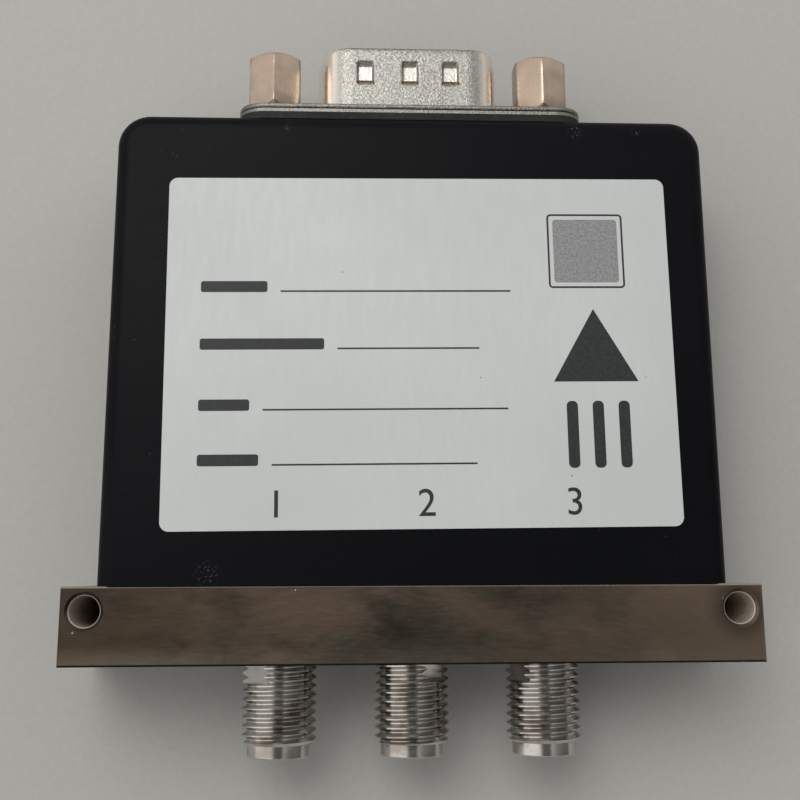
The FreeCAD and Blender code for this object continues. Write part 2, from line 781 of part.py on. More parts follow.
def barrel_shape():
    """A port's outer conductor about +Z, with the plate's underside at zero."""
    length = size("barrel_length")
    thread_end = length - size("end_ring_length")
    major = size("thread_major") / 2
    lead = size("thread_lead_chamfer")
    ring = size("end_ring_diameter") / 2
    ring_chamfer = size("end_ring_chamfer")
    clearance = size("press_clearance")
    shank = Part.makeCylinder(major, thread_end - lead)
    lead_cone = Part.makeCone(
        major, major - lead, lead, FreeCAD.Vector(0, 0, thread_end - lead)
    )
    start = thread_end - lead
    end_ring = Part.makeCylinder(ring, length - ring_chamfer - start, FreeCAD.Vector(0, 0, start))
    rim = Part.makeCone(
        ring, ring - ring_chamfer, ring_chamfer, FreeCAD.Vector(0, 0, length - ring_chamfer)
    )
    stub_length = size("stub_length") - clearance
    stub = Part.makeCylinder(
        size("stub_diameter") / 2, stub_length, FreeCAD.Vector(0, 0, -stub_length)
    )
    barrel = shank.fuse([lead_cone, end_ring, rim, stub])
    pitch = size("thread_pitch")
    barrel = cut_thread(barrel, -0.8 * pitch, thread_end + 0.5 * pitch, thread_end)
    reach = size("thread_major")
    for turn in (0, 180):
        flat = Part.makeBox(
            reach,
            2 * reach,
            size("flat_length"),
            FreeCAD.Vector(size("flat_across") / 2, -reach, 0),
        )
        flat.rotate(FreeCAD.Vector(), FreeCAD.Vector(0, 0, 1), turn)
        barrel = barrel.cut(flat)
    bore = Part.makeCylinder(
        size("dielectric_diameter") / 2 + clearance,
        length + stub_length,
        FreeCAD.Vector(0, 0, -stub_length),
    )
    mouth = Part.makeCylinder(
        size("port_bore_diameter") / 2,
        size("port_bore_depth"),
        FreeCAD.Vector(0, 0, length - size("port_bore_depth")),
    )
    return barrel.cut(bore.fuse(mouth))


def make_ports():
    barrel = barrel_shape()
    outward = FreeCAD.Rotation(FreeCAD.Vector(1, 0, 0), 90)
    for side, name in PORTS:
        turn = FreeCAD.Rotation(FreeCAD.Vector(0, 0, 1), 90 + size(f"flat_turn_{name}"))
        spot = FreeCAD.Vector(side * size("port_pitch"), place("plate_bottom"), place("mid_depth"))
        port = computed(f"port_{name}", barrel, FreeCAD.Placement(spot, outward.multiply(turn)))
        node(f"sma_port_{name}", port)
        make_bead(side, name)
        make_contact(side, name)


def make_bead(side, name):
    x = f"{side} * sizes.port_pitch"
    base = (x, "places.reference_plane", "places.mid_depth")
    length = "places.channel_floor - places.reference_plane"
    bead = cylinder(f"bead_{name}", UPWARD, base, "sizes.dielectric_diameter", length)
    bore = "sizes.contact_diameter + 2 * sizes.press_clearance"
    hole = cylinder(f"bead_hole_{name}", UPWARD, base, bore, length)
    node(f"dielectric_{name}", cut(f"bead_part_{name}", bead, [hole]))


def make_contact(side, name):
    """Centre contact: slotted socket below, flat head above the channel floor."""
    x = f"{side} * sizes.port_pitch"
    z = "places.mid_depth"
    base = (x, "places.reference_plane", z)
    length = "places.channel_floor - places.reference_plane"
    stem = cylinder(f"contact_stem_{name}", UPWARD, base, "sizes.contact_diameter", length)
    head = cylinder(
        f"contact_head_{name}",
        UPWARD,
        (x, "places.channel_floor", z),
        "sizes.contact_head_diameter",
        "sizes.contact_head_height",
    )
    socket = cylinder(
        f"contact_socket_{name}",
        UPWARD,
        base,
        "sizes.contact_socket_diameter",
        "sizes.contact_socket_depth",
    )
    reach = "2 * sizes.contact_diameter"
    depth = "sizes.contact_slot_depth"
    gap = "sizes.contact_slot_width"
    across = centred_box(f"contact_slot_x_{name}", base, (reach, depth, gap))
    along = centred_box(f"contact_slot_z_{name}", base, (gap, depth, reach))
    solid = fuse(f"contact_solid_{name}", [stem, head])
    node(f"centre_contact_{name}", cut(f"contact_{name}", solid, [socket, across, along]))


# Reeds, rods and springs.


def open_lift(side):
    """How far a side's reed is lifted at rest."""
    return "0" if side == LEFT else "sizes.reed_travel"


def make_reed(side, name):
    length = "sizes.port_pitch + sizes.reed_overhang - sizes.reed_centre_gap / 2"
    inner = "sizes.reed_centre_gap / 2"
    low_x = inner if side == RIGHT else f"-({inner}) - ({length})"
    level = f"places.reed_closed + {open_lift(side)}"
    strip = box(
        f"reed_strip_{name}",
        (low_x, level, "places.mid_depth - sizes.reed_width / 2"),
        (length, "sizes.reed_thickness", "sizes.reed_width"),
    )
    hole = cylinder(
        f"reed_hole_{name}",
        UPWARD,
        (f"{side} * places.rod_arm", level, "places.mid_depth"),
        "sizes.reed_hole_diameter + 2 * sizes.press_clearance",
        "sizes.reed_thickness",
    )
    node(f"rf_reed_{name}", cut(f"reed_{name}", strip, [hole]))


def make_rod(side, name):
    """Push rod: spring head, guided shank, and a staked end through the reed."""
    x = f"{side} * places.rod_arm"
    z = "places.mid_depth"
    lift = open_lift(side)
    shoulder = f"places.reed_closed + sizes.reed_thickness + {lift}"
    head_level = f"places.rod_head_closed + {lift}"
    shank = cylinder(
        f"rod_shank_{name}",
        UPWARD,
        (x, shoulder, z),
        "sizes.rod_diameter",
        f"{head_level} - ({shoulder})",
    )
    head = cylinder(
        f"rod_head_{name}",
        UPWARD,
        (x, head_level, z),
        "sizes.rod_head_diameter",
        "sizes.rod_head_height",
    )
    neck = cylinder(
        f"rod_neck_{name}",
        UPWARD,
        (x, f"places.reed_closed + {lift}", z),
        "sizes.reed_hole_diameter",
        "sizes.reed_thickness",
    )
    stake = cylinder(
        f"rod_stake_{name}",
        UPWARD,
        (x, f"places.reed_closed - sizes.rod_stake_height + {lift}", z),
        "sizes.rod_stake_diameter",
        "sizes.rod_stake_height",
    )
    node(f"push_rod_{name}", fuse(f"rod_{name}", [shank, head, neck, stake]))


def make_spring(side, name):
    """Return spring between the bushing's flange and the rod's head.

    The wire's section is a facetted circle of the round wire's area.
    """
    gap = size("spring_end_gap")
    wire = size("spring_wire")
    bottom = place("bushing_top") + gap + wire / 2
    lift = 0.0 if side == LEFT else size("reed_travel")
    height = size("spring_height") + lift - 2 * gap - wire
    radius = size("spring_mean_diameter") / 2
    helix = Part.makeHelix(height / size("spring_turns"), height, radius)
    facets = int(size("spring_wire_facets"))
    sector = 2 * math.pi / facets
    reach = wire / 2 * math.sqrt(sector / math.sin(sector))
    corners = [
        FreeCAD.Vector(
            radius + reach * math.cos((corner + 0.5) * sector),
            0,
            reach * math.sin((corner + 0.5) * sector),
        )
        for corner in range(facets)
    ]
    outline = Part.makePolygon(corners + corners[:1])
    coil = Part.Wire(helix.Edges).makePipeShell([outline], True, True)
    spot = FreeCAD.Vector(side * place("rod_arm"), bottom, place("mid_depth"))
    spring = computed(f"spring_{name}", coil, FreeCAD.Placement(spot, TURNS[UPWARD]))
    node(f"return_spring_{name}", spring)


def make_bushings():
    bushings = []
    for side, name in SIDES:
        x = f"{side} * places.rod_arm"
        z = "places.mid_depth"
        sleeve = cylinder(
            f"bushing_sleeve_{name}",
            UPWARD,
            (x, "places.plate_top", z),
            "sizes.bushing_diameter",
            "sizes.lid_thickness",
        )
        flange = cylinder(
            f"bushing_flange_{name}",
            UPWARD,
            (x, "places.lid_top", z),
            "sizes.bushing_flange_diameter",
            "sizes.bushing_flange_height",
        )
        bore = cylinder(
            f"bushing_bore_{name}",
            UPWARD,
            (x, "places.plate_top", z),
            "sizes.rod_diameter + 2 * sizes.running_clearance",
            "places.bushing_top - places.plate_top",
        )
        solid = fuse(f"bushing_solid_{name}", [sleeve, flange])
        bushings.append(cut(f"bushing_{name}", solid, [bore]))
    node("rod_bushings", group("bushing_set", bushings))


def make_posts():
    base = "places.channel_floor - sizes.post_engagement + sizes.press_clearance"
    length = (
        "sizes.channel_depth + sizes.post_engagement - sizes.press_clearance - sizes.post_top_gap"
    )
    posts = [
        cylinder(f"post_{number}", UPWARD, (x, base, z), "sizes.post_diameter", length)
        for number, (x, z) in enumerate(post_spots())
    ]
    node("reed_guide_posts", group("post_set", posts))


# Rocker. Its pieces are drawn level about the pivot and then tilted to the latched position.


def tilt_to_rest(feature):
    return tilt(feature, ("0", "places.pivot_height", "places.mid_depth"), "places.rocker_tilt")


def make_rocker():
    width = "sizes.rocker_width"
    back = "-sizes.rocker_width / 2"
    bar = box(
        "rocker_bar",
        ("-sizes.rocker_half_length", "-sizes.rocker_thickness / 2", back),
        ("2 * sizes.rocker_half_length", "sizes.rocker_thickness", width),
    )
    hub = cylinder("rocker_hub", BACK_TO_FRONT, ("0", "0", back), "sizes.hub_diameter", width)
    bushing_bore = "sizes.pivot_bushing_diameter + 2 * sizes.press_clearance"
    holes = [cylinder("rocker_bore", BACK_TO_FRONT, ("0", "0", back), bushing_bore, width)]
    for side, name in SIDES:
        base = (f"{side} * places.rod_arm", "-sizes.rocker_thickness / 2", "0")
        bore = "sizes.pusher_diameter + 2 * sizes.press_clearance"
        holes.append(
            cylinder(f"pusher_hole_{name}", UPWARD, base, bore, "sizes.rocker_thickness")
        )
    solid = fuse("rocker_solid", [bar, hub])
    node("rocker", tilt_to_rest(cut("rocker_part", solid, holes)))

    pushers = []
    for side, name in SIDES:
        x = f"{side} * places.rod_arm"
        tip_base = (x, "-places.pusher_tip_arm", "0")
        tip = cone(
            f"pusher_tip_{name}",
            UPWARD,
            tip_base,
            "sizes.pusher_tip_diameter",
            "sizes.pusher_diameter",
            "sizes.pusher_tip_height",
        )
        body_base = (x, "sizes.pusher_tip_height - places.pusher_tip_arm", "0")
        length = "places.pusher_tip_arm - sizes.pusher_tip_height + sizes.rocker_thickness / 2"
        shank = cylinder(f"pusher_{name}", UPWARD, body_base, "sizes.pusher_diameter", length)
        pushers.append(fuse(f"pusher_part_{name}", [tip, shank]))
    node("rocker_pushers", tilt_to_rest(group("pusher_set", pushers)))

    pads = [
        centred_box(
            f"pad_{name}",
            (f"{side} * places.pad_reach_x", "-places.pad_arm", "0"),
            ("sizes.pad_length", "sizes.pad_reach", "sizes.pad_width"),
        )
        for side, name in SIDES
    ]
    node("rocker_pads", tilt_to_rest(group("pad_set", pads)))

    sleeve = cylinder(
        "pivot_sleeve", BACK_TO_FRONT, ("0", "0", back), "sizes.pivot_bushing_diameter", width
    )
    bore = "sizes.pivot_diameter + 2 * sizes.running_clearance"
    hole = cylinder("pivot_sleeve_bore", BACK_TO_FRONT, ("0", "0", back), bore, width)
    node("pivot_bushing", tilt_to_rest(cut("pivot_bushing_part", sleeve, [hole])))


# Frame, pivot pin and frame screws.


def round_frame_corners(solid):
    """Bend radius at the frame's two upper outside corners, clear of the cover's corners."""
    doc.recompute()
    reach = place("frame_half_width")
    level = place("frame_top")
    radius = size("frame_corner")
    rounded = doc.addObject("Part::Fillet", "frame_rounded")
    rounded.Base = solid
    rounded.Edges = [
        (index, radius, radius)
        for index, edge in enumerate(solid.Shape.Edges, start=1)
        if abs(abs(edge.CenterOfMass.x) - reach) < 0.01
        and abs(edge.CenterOfMass.y - level) < 0.01
        and abs(edge.tangentAt(edge.FirstParameter).z) > 0.5
    ]
    doc.recompute()
    return rounded


def make_frame():
    mid = "places.mid_depth"
    base = centred_box(
        "frame_base",
        ("0", "places.lid_top", mid),
        ("2 * places.frame_half_width", "sizes.frame_base_thickness", "places.frame_base_depth"),
    )
    solids = [base]
    tools = [
        centred_box(
            "frame_window",
            ("0", "places.lid_top", mid),
            ("sizes.frame_window_width", "sizes.frame_base_thickness", "sizes.frame_window_depth"),
        )
    ]
    for side, name in SIDES:
        column_x = f"{side} * (places.frame_half_width - sizes.frame_column_thickness / 2)"
        height = "places.frame_top - places.lid_top"
        solids.append(
            centred_box(
                f"frame_column_{name}",
                (column_x, "places.lid_top", mid),
                ("sizes.frame_column_thickness", height, "places.frame_column_depth"),
            )
        )
        tab_x = f"{side} * (places.frame_half_width - sizes.frame_tab_reach / 2)"
        solids.append(
            centred_box(
                f"frame_tab_{name}",
                (tab_x, "places.frame_top - sizes.frame_tab_thickness", mid),
                ("sizes.frame_tab_reach", "sizes.frame_tab_thickness", "places.frame_column_depth"),
            )
        )
        tools.append(
            cylinder(
                f"frame_tapped_hole_{name}",
                UPWARD,
                (
                    f"{side} * places.jackscrew_reach",
                    "places.frame_top - sizes.frame_tab_thickness",
                    mid,
                ),
                "sizes.jackscrew_stud_diameter + 2 * sizes.press_clearance",
                "sizes.frame_tab_thickness",
            )
        )
        ear_z = f"{mid} + {side} * (sizes.rocker_width / 2 + sizes.ear_gap + sizes.ear_thickness / 2)"
        solids.append(
            centred_box(
                f"frame_ear_{name}",
                ("0", "places.lid_top", ear_z),
                (
                    "sizes.ear_width",
                    "places.pivot_height + sizes.ear_rise - places.lid_top",
                    "sizes.ear_thickness",
                ),
            )
        )
    for number, (x, z) in enumerate(frame_screw_spots()):
        tools.append(
            cylinder(
                f"frame_screw_hole_{number}",
                UPWARD,
                (x, "places.lid_top", z),
                "sizes.screw_diameter + 2 * sizes.press_clearance",
                "sizes.frame_base_thickness",
            )
        )
    ear_reach = "sizes.rocker_width / 2 + sizes.ear_gap + sizes.ear_thickness"
    pin_length = f"2 * ({ear_reach})"
    pin_base = ("0", "places.pivot_height", f"{mid} - ({ear_reach})")
    hole = "sizes.pivot_diameter + 2 * sizes.press_clearance"
    tools.append(cylinder("frame_pivot_hole", BACK_TO_FRONT, pin_base, hole, pin_length))
    for number, (side, y, z) in enumerate(yoke_screw_spots()):
        inner = "places.column_inner" if side == RIGHT else "-places.frame_half_width"
        tools.append(
            cylinder(
                f"frame_yoke_hole_{number}",
                LEFT_TO_RIGHT,
                (inner, y, z),
                "sizes.screw_diameter + 2 * sizes.press_clearance",
                "sizes.frame_column_thickness",
            )
        )
        sink = "places.frame_half_width - sizes.screw_head_height - sizes.yoke_screw_head_height"
        low = sink if side == RIGHT else "-places.frame_half_width"
        tools.append(
            cylinder(
                f"frame_yoke_sink_{number}",
                LEFT_TO_RIGHT,
                (low, y, z),
                "sizes.screw_head_diameter + 2 * sizes.press_clearance",
                "sizes.screw_head_height + sizes.yoke_screw_head_height",
            )
        )
    node("actuator_frame", cut("frame", round_frame_corners(fuse("frame_solid", solids)), tools))
    pin = cylinder("pivot_pin_part", BACK_TO_FRONT, pin_base, "sizes.pivot_diameter", pin_length)
    node("pivot_pin", pin)

    screws = []
    for number, (x, z) in enumerate(frame_screw_spots()):
        base = "places.plate_top - sizes.screw_engagement + sizes.press_clearance"
        shank = cylinder(
            f"frame_screw_shank_{number}",
            UPWARD,
            (x, base, z),
            "sizes.screw_diameter",
            f"places.frame_base_top - ({base})",
        )
        head = cylinder(
            f"frame_screw_head_{number}",
            UPWARD,
            (x, "places.frame_base_top", z),
            "sizes.screw_head_diameter",
            "sizes.screw_head_height",
        )
        screws.append(fuse(f"frame_screw_{number}", [shank, head]))
    node("frame_screws", group("frame_screw_set", screws))


# Coils, cores, yoke and magnet.


def make_coil(side, name):
    x = f"{side} * sizes.coil_pitch"
    z = "places.mid_depth"
    shaft = cylinder(
        f"core_shaft_{name}",
        UPWARD,
        (x, "places.pole_face", z),
        "sizes.core_diameter",
        "places.bobbin_top - places.pole_face",
    )
    neck = cylinder(
        f"core_neck_{name}",
        UPWARD,
        (x, "places.bobbin_top", z),
        "sizes.core_neck_diameter",
        "sizes.yoke_thickness",
    )
    node(f"core_{name}", fuse(f"core_part_{name}", [shaft, neck]))

    hub = cylinder(
        f"bobbin_hub_{name}",
        UPWARD,
        (x, "places.bobbin_bottom", z),
        "sizes.bobbin_hub_diameter",
        "sizes.bobbin_length",
    )
    flange_levels = ("places.bobbin_bottom", "places.bobbin_top - sizes.bobbin_flange_thickness")
    flanges = [
        cylinder(
            f"bobbin_flange_{number}_{name}",
            UPWARD,
            (x, level, z),
            "places.bobbin_flange_diameter",
            "sizes.bobbin_flange_thickness",
        )
        for number, level in enumerate(flange_levels)
    ]
    bore = cylinder(
        f"bobbin_bore_{name}",
        UPWARD,
        (x, "places.bobbin_bottom", z),
        "sizes.core_diameter + 2 * sizes.press_clearance",
        "sizes.bobbin_length",
    )
    spool = fuse(f"bobbin_solid_{name}", [hub] + flanges)
    node(f"bobbin_{name}", cut(f"bobbin_part_{name}", spool, [bore]))

    winding_base = (x, "places.bobbin_bottom + sizes.bobbin_flange_thickness", z)
    winding_length = "sizes.bobbin_length - 2 * sizes.bobbin_flange_thickness"
    outside = cylinder(
        f"winding_outside_{name}", UPWARD, winding_base, "places.winding_diameter", winding_length
    )
    inside = "sizes.bobbin_hub_diameter + 2 * sizes.press_clearance"
    inner = cylinder(f"winding_inside_{name}", UPWARD, winding_base, inside, winding_length)
    node(f"winding_{name}", cut(f"winding_part_{name}", outside, [inner]))


def coil_terminal_spots():
    return [
        (f"{side} * sizes.coil_pitch + {hand} * sizes.coil_terminal_pitch", "places.lead_depth")
        for side, _ in SIDES
        for hand in (-1, 1)
    ]


def make_coil_terminals():
    terminals = [
        cylinder(
            f"coil_terminal_{number}",
            UPWARD,
            (x, "places.bobbin_top", z),
            "sizes.lead_diameter",
            "places.lead_top - places.bobbin_top",
        )
        for number, (x, z) in enumerate(coil_terminal_spots())
    ]
    node("coil_terminals", group("coil_terminal_set", terminals))


def yoke_screw_spots():
    """Side, level and depth of each screw through a frame column into the yoke."""
    level = "places.bobbin_top + sizes.yoke_thickness / 2"
    return [
        (side, level, f"places.mid_depth + {row} * sizes.yoke_screw_offset")
        for side, _ in SIDES
        for row in (-1, 1)
    ]


def make_yoke():
    bar = centred_box(
        "yoke_bar",
        ("0", "places.bobbin_top", "places.mid_depth"),
        ("2 * places.column_inner", "sizes.yoke_thickness", "places.yoke_depth"),
    )
    holes = [
        cylinder(
            f"yoke_hole_{name}",
            UPWARD,
            (f"{side} * sizes.coil_pitch", "places.bobbin_top", "places.mid_depth"),
            "sizes.core_neck_diameter + 2 * sizes.press_clearance",
            "sizes.yoke_thickness",
        )
        for side, name in SIDES
    ]
    engagement = "sizes.yoke_screw_engagement"
    screws = []
    for number, (side, y, z) in enumerate(yoke_screw_spots()):
        low = f"places.column_inner - {engagement}" if side == RIGHT else "-places.column_inner"
        hole_size = "sizes.screw_diameter + 2 * sizes.press_clearance"
        spot = (low, y, z)
        holes.append(
            cylinder(f"yoke_screw_hole_{number}", LEFT_TO_RIGHT, spot, hole_size, engagement)
        )
        sink = "places.frame_half_width - sizes.screw_head_height - sizes.yoke_screw_head_height"
        shank_length = f"{sink} - places.column_inner + {engagement} - sizes.press_clearance"
        inner = f"places.column_inner - {engagement} + sizes.press_clearance"
        shank_low = inner if side == RIGHT else f"-({sink})"
        head_low = sink if side == RIGHT else f"-({sink}) - sizes.screw_head_height"
        shank = cylinder(
            f"yoke_screw_shank_{number}",
            LEFT_TO_RIGHT,
            (shank_low, y, z),
            "sizes.screw_diameter",
            shank_length,
        )
        head = cylinder(
            f"yoke_screw_head_{number}",
            LEFT_TO_RIGHT,
            (head_low, y, z),
            "sizes.screw_head_diameter",
            "sizes.screw_head_height",
        )
        screws.append(fuse(f"yoke_screw_{number}", [shank, head]))
    node("yoke", cut("yoke_part", bar, holes))
    node("yoke_screws", group("yoke_screw_set", screws))


def make_magnet():
    pole = centred_box(
        "magnet_pole_part",
        ("0", "places.magnet_pole_bottom", "places.mid_depth"),
        ("sizes.magnet_width", "sizes.magnet_pole_height", "sizes.magnet_depth"),
    )
    node("magnet_pole", pole)
    magnet = centred_box(
        "magnet_part",
        ("0", "places.magnet_bottom", "places.mid_depth"),
        (
            "sizes.magnet_width",
            "places.bobbin_top - places.magnet_bottom",
            "sizes.magnet_depth",
        ),
    )
    node("latch_magnet", magnet)


# Position contacts.


def make_indicator(side, name):
    """Moulded block on the frame's base that holds a fixed strip and a sprung leaf's terminal."""
    mid = "places.mid_depth"
    x = f"{side} * (places.block_inner + sizes.block_width / 2)"
    height = "places.terminal_bottom - places.frame_base_top"
    block = centred_box(
        f"block_{name}",
        (x, "places.frame_base_top", mid),
        ("sizes.block_width", height, "sizes.block_depth"),
    )
    clearance = "sizes.press_clearance"
    slot_depth = "sizes.block_depth / 2 + sizes.strip_width / 2"
    slot = box(
        f"block_slot_{name}",
        (
            f"{x} - sizes.block_width / 2",
            f"places.strip_bottom - {clearance}",
            f"{mid} - sizes.block_depth / 2",
        ),
        (
            "sizes.block_width",
            f"sizes.strip_thickness + 2 * {clearance}",
            f"{slot_depth} + {clearance}",
        ),
    )
    node(f"indicator_block_{name}", cut(f"block_part_{name}", block, [slot]))

    length = "places.leaf_length + sizes.leaf_tip_overhang + sizes.leaf_root_overhang"
    root = "sizes.leaf_root_overhang - sizes.block_clearance"
    low = f"-({root})" if side == LEFT else f"-({length}) + ({root})"
    leaf = box(
        f"leaf_strip_{name}",
        (low, "-sizes.leaf_thickness / 2", "-sizes.leaf_width / 2"),
        (length, "sizes.leaf_thickness", "sizes.leaf_width"),
    )
    spot = (f"{side} * sizes.leaf_pivot_reach", "places.leaf_height", mid)
    node(f"indicator_leaf_{name}", tilt(group(f"leaf_{name}", [leaf]), spot, "-places.leaf_tilt"))


def tail(name, side, reach, level, inner):
    """A narrow tail from a contact towards the back, where its lead stands."""
    outer = "sizes.lead_offset + sizes.lead_diameter / 2"
    return box(
        name,
        (
            f"{side} * {reach} - sizes.terminal_tail_width / 2",
            level,
            f"places.mid_depth - ({outer})",
        ),
        ("sizes.terminal_tail_width", "sizes.strip_thickness", f"{outer} - {inner}"),
    )


def make_indicator_contacts():
    mid = "places.mid_depth"
    strips = []
    terminals = []
    leads = []
    for side, name in SIDES:
        outer = "places.block_outer - sizes.block_clearance"
        middle = f"{side} * (places.strip_tip + ({outer})) / 2"
        strip = centred_box(
            f"strip_{name}",
            (middle, "places.strip_bottom", mid),
            (f"{outer} - places.strip_tip", "sizes.strip_thickness", "sizes.strip_width"),
        )
        strip_tail = tail(
            f"strip_tail_{name}",
            side,
            "sizes.strip_tail_reach",
            "places.strip_bottom",
            "sizes.strip_width / 2",
        )
        contact_x = "places.pad_reach_x - sizes.leaf_tip_overhang / 2"
        drop = "(sizes.leaf_pivot_reach - (" + contact_x + ")) * tan(places.leaf_tilt * 1deg)"
        button_top = (
            f"places.leaf_height - {drop} - sizes.leaf_thickness / 2 / cos(places.leaf_tilt * 1deg)"
            " - sizes.button_gap - sizes.button_diameter / 2 * tan(places.leaf_tilt * 1deg)"
        )
        button = cylinder(
            f"button_{name}",
            UPWARD,
            (f"{side} * ({contact_x})", "places.strip_top", mid),
            "sizes.button_diameter",
            f"{button_top} - places.strip_top",
        )
        strips.append(fuse(f"strip_part_{name}", [strip, strip_tail, button]))

        plate = centred_box(
            f"terminal_{name}",
            (
                f"{side} * (places.block_inner + places.block_outer) / 2",
                "places.terminal_bottom",
                mid,
            ),
            (
                "sizes.block_width - 2 * sizes.block_clearance",
                "sizes.strip_thickness",
                "sizes.strip_width",
            ),
        )
        terminal_tail = tail(
            f"terminal_tail_{name}",
            side,
            "sizes.terminal_tail_reach",
            "places.terminal_bottom",
            "sizes.strip_width / 2",
        )
        terminals.append(fuse(f"terminal_part_{name}", [plate, terminal_tail]))

        starts = (
            ("sizes.strip_tail_reach", "places.strip_top"),
            ("sizes.terminal_tail_reach", "places.terminal_bottom + sizes.strip_thickness"),
        )
        for number, (reach, level) in enumerate(starts):
            leads.append(
                cylinder(
                    f"lead_{number}_{name}",
                    UPWARD,
                    (f"{side} * {reach}", level, "places.lead_depth"),
                    "sizes.lead_diameter",
                    f"places.lead_top - ({level})",
                )
            )
    node("indicator_contacts", group("strip_set", strips))
    node("indicator_terminals", group("terminal_set", terminals))
    node("indicator_leads", group("lead_set", leads))


# Driver board.


def pin_spots():
    """Five pins on the wide side towards the back, four towards the front."""
    back = "places.mid_depth - sizes.pin_row_pitch / 2"
    front = "places.mid_depth + sizes.pin_row_pitch / 2"
    wide_row = [(f"{number} * sizes.pin_pitch", back) for number in (-2, -1, 0, 1, 2)]
    narrow_row = [(f"{number} * sizes.pin_pitch", front) for number in (-1.5, -0.5, 0.5, 1.5)]
    return wide_row + narrow_row


def standoff_spots():
    return [(f"{side} * sizes.standoff_pitch", "places.mid_depth") for side, _ in SIDES]


def lead_spots():
    reaches = ("sizes.strip_tail_reach", "sizes.terminal_tail_reach")
    return [(f"{side} * {reach}", "places.lead_depth") for side, _ in SIDES for reach in reaches]


def make_board():
    clearance = "2 * sizes.board_hole_clearance"
    board = plate_body(
        "board_solid",
        ("places.board_width", "places.board_depth"),
        "sizes.board_corner",
        ("0", "places.mid_depth"),
        "places.board_bottom",
        "sizes.board_thickness",
        (
            (f"sizes.pin_diameter + {clearance}", pin_spots()),
            (f"sizes.lead_diameter + {clearance}", coil_terminal_spots() + lead_spots()),
            (f"sizes.screw_diameter + {clearance}", standoff_spots()),
        ),
    )
    node("driver_board", board)

    standoffs = []
    screws = []
    for number, (x, z) in enumerate(standoff_spots()):
        base = (x, "places.yoke_top", z)
        sleeve = cylinder(
            f"standoff_sleeve_{number}",
            UPWARD,
            base,
            "sizes.standoff_diameter",
            "sizes.standoff_height",
        )
        bore = cylinder(
            f"standoff_bore_{number}",
            UPWARD,
            base,
            "sizes.screw_diameter + 2 * sizes.press_clearance",
            "sizes.standoff_height",
        )
        standoffs.append(cut(f"standoff_{number}", sleeve, [bore]))
        shank = cylinder(
            f"board_screw_shank_{number}",
            UPWARD,
            (x, "places.board_bottom - sizes.screw_engagement", z),
            "sizes.screw_diameter",
            "sizes.screw_engagement + sizes.board_thickness",
        )
        head = cylinder(
            f"board_screw_head_{number}",
            UPWARD,
            (x, "places.board_top", z),
            "sizes.screw_head_diameter",
            "sizes.screw_head_height",
        )
        screws.append(fuse(f"board_screw_{number}", [shank, head]))
    node("board_standoffs", group("standoff_set", standoffs))
    node("board_screws", group("board_screw_set", screws))

    chip = centred_box(
        "chip",
        ("-sizes.chip_reach", "places.board_top", "places.mid_depth"),
        ("sizes.chip_length", "sizes.chip_height", "sizes.chip_depth"),
    )
    node("driver_chip", chip)
    diodes = [
        cylinder(
            f"diode_{number}",
            LEFT_TO_RIGHT,
            (
                "sizes.diode_reach - sizes.diode_length / 2",
                "places.board_top + sizes.diode_diameter / 2",
                f"places.mid_depth + {row} * sizes.diode_offset",
            ),
            "sizes.diode_diameter",
            "sizes.diode_length",
        )
        for number, row in enumerate((-1, 1))
    ]
    node("surge_diodes", group("diode_set", diodes))


# Cover and label.


def make_cover():
    body = doc.addObject("PartDesign::Body", "cover_body")
    profile = sketch_on(body, "cover_profile", "XY_Plane", "sizes.cover_setback")
    middle = "places.plate_top + sizes.cover_height / 2"
    draw_rectangle(profile, "sizes.cover_width", "sizes.cover_height", ("0", middle))
    block = pad(body, profile, "cover_pad", "places.cover_front - sizes.cover_setback")

    top = place("cover_top")
    corners = edge_names(
        block.Shape,
        lambda edge: abs(edge.tangentAt(0).z) > 0.5 and abs(edge.CenterOfMass.y - top) < 0.01,
    )
    round_corners = body.newObject("PartDesign::Fillet", "cover_corners")
    round_corners.Base = (block, corners)
    bind(round_corners, Radius="sizes.cover_corner")
    doc.recompute()

    bottom = place("plate_top")
    rims = edge_names(
        round_corners.Shape,
        lambda edge: abs(edge.tangentAt(edge.FirstParameter).z) < 0.5
        and edge.CenterOfMass.y > bottom + 0.01,
    )
    round_edges = body.newObject("PartDesign::Fillet", "cover_edges")
    round_edges.Base = (round_corners, rims)
    bind(round_edges, Radius="sizes.cover_edge_radius")
    doc.recompute()

    open_face = [
        f"Face{index}"
        for index, face in enumerate(round_edges.Shape.Faces, start=1)
        if face.CenterOfMass.y < bottom + 0.001
    ]
    shell = body.newObject("PartDesign::Thickness", "cover_shell")
    shell.Base = (round_edges, open_face)
    shell.Reversed = True
    bind(shell, Value="sizes.cover_wall")
    doc.recompute()
    if body.Shape.Volume > 0.5 * round_edges.Shape.Volume:
        raise ValueError("the cover is not hollow")

    window = sketch_on(body, "connector_window", "XZ_Plane", "-places.cover_top")
    spot = ("0", "places.mid_depth")
    draw_rectangle(window, "places.window_width", "sizes.window_depth", spot)
    pocket(body, window, "window_cut", "sizes.cover_wall", against_normal=False)
    holes = sketch_on(body, "jackscrew_holes", "XZ_Plane", "-places.cover_top")
    spots = [(f"{side} * places.jackscrew_reach", "places.mid_depth") for side, _ in SIDES]
    draw_circles(holes, "places.stud_hole_diameter", spots)
    pocket(body, holes, "jackscrew_cut", "sizes.cover_wall", against_normal=False)
    node("cover", body)


def make_label():
    body = doc.addObject("PartDesign::Body", "label_body")
    profile = sketch_on(body, "label_profile", "XY_Plane", "0")
    outline = ("sizes.label_width", "sizes.label_height")
    draw_rectangle(profile, outline[0], outline[1], ("0", "0"), "sizes.label_corner")
    pad(body, profile, "label_pad", "sizes.label_thickness")
    spot = ("sizes.label_centre_x", "sizes.label_centre_y", "places.cover_front")
    tilt(body, spot, "sizes.label_tilt")
    node("label", body)


# Control connector.


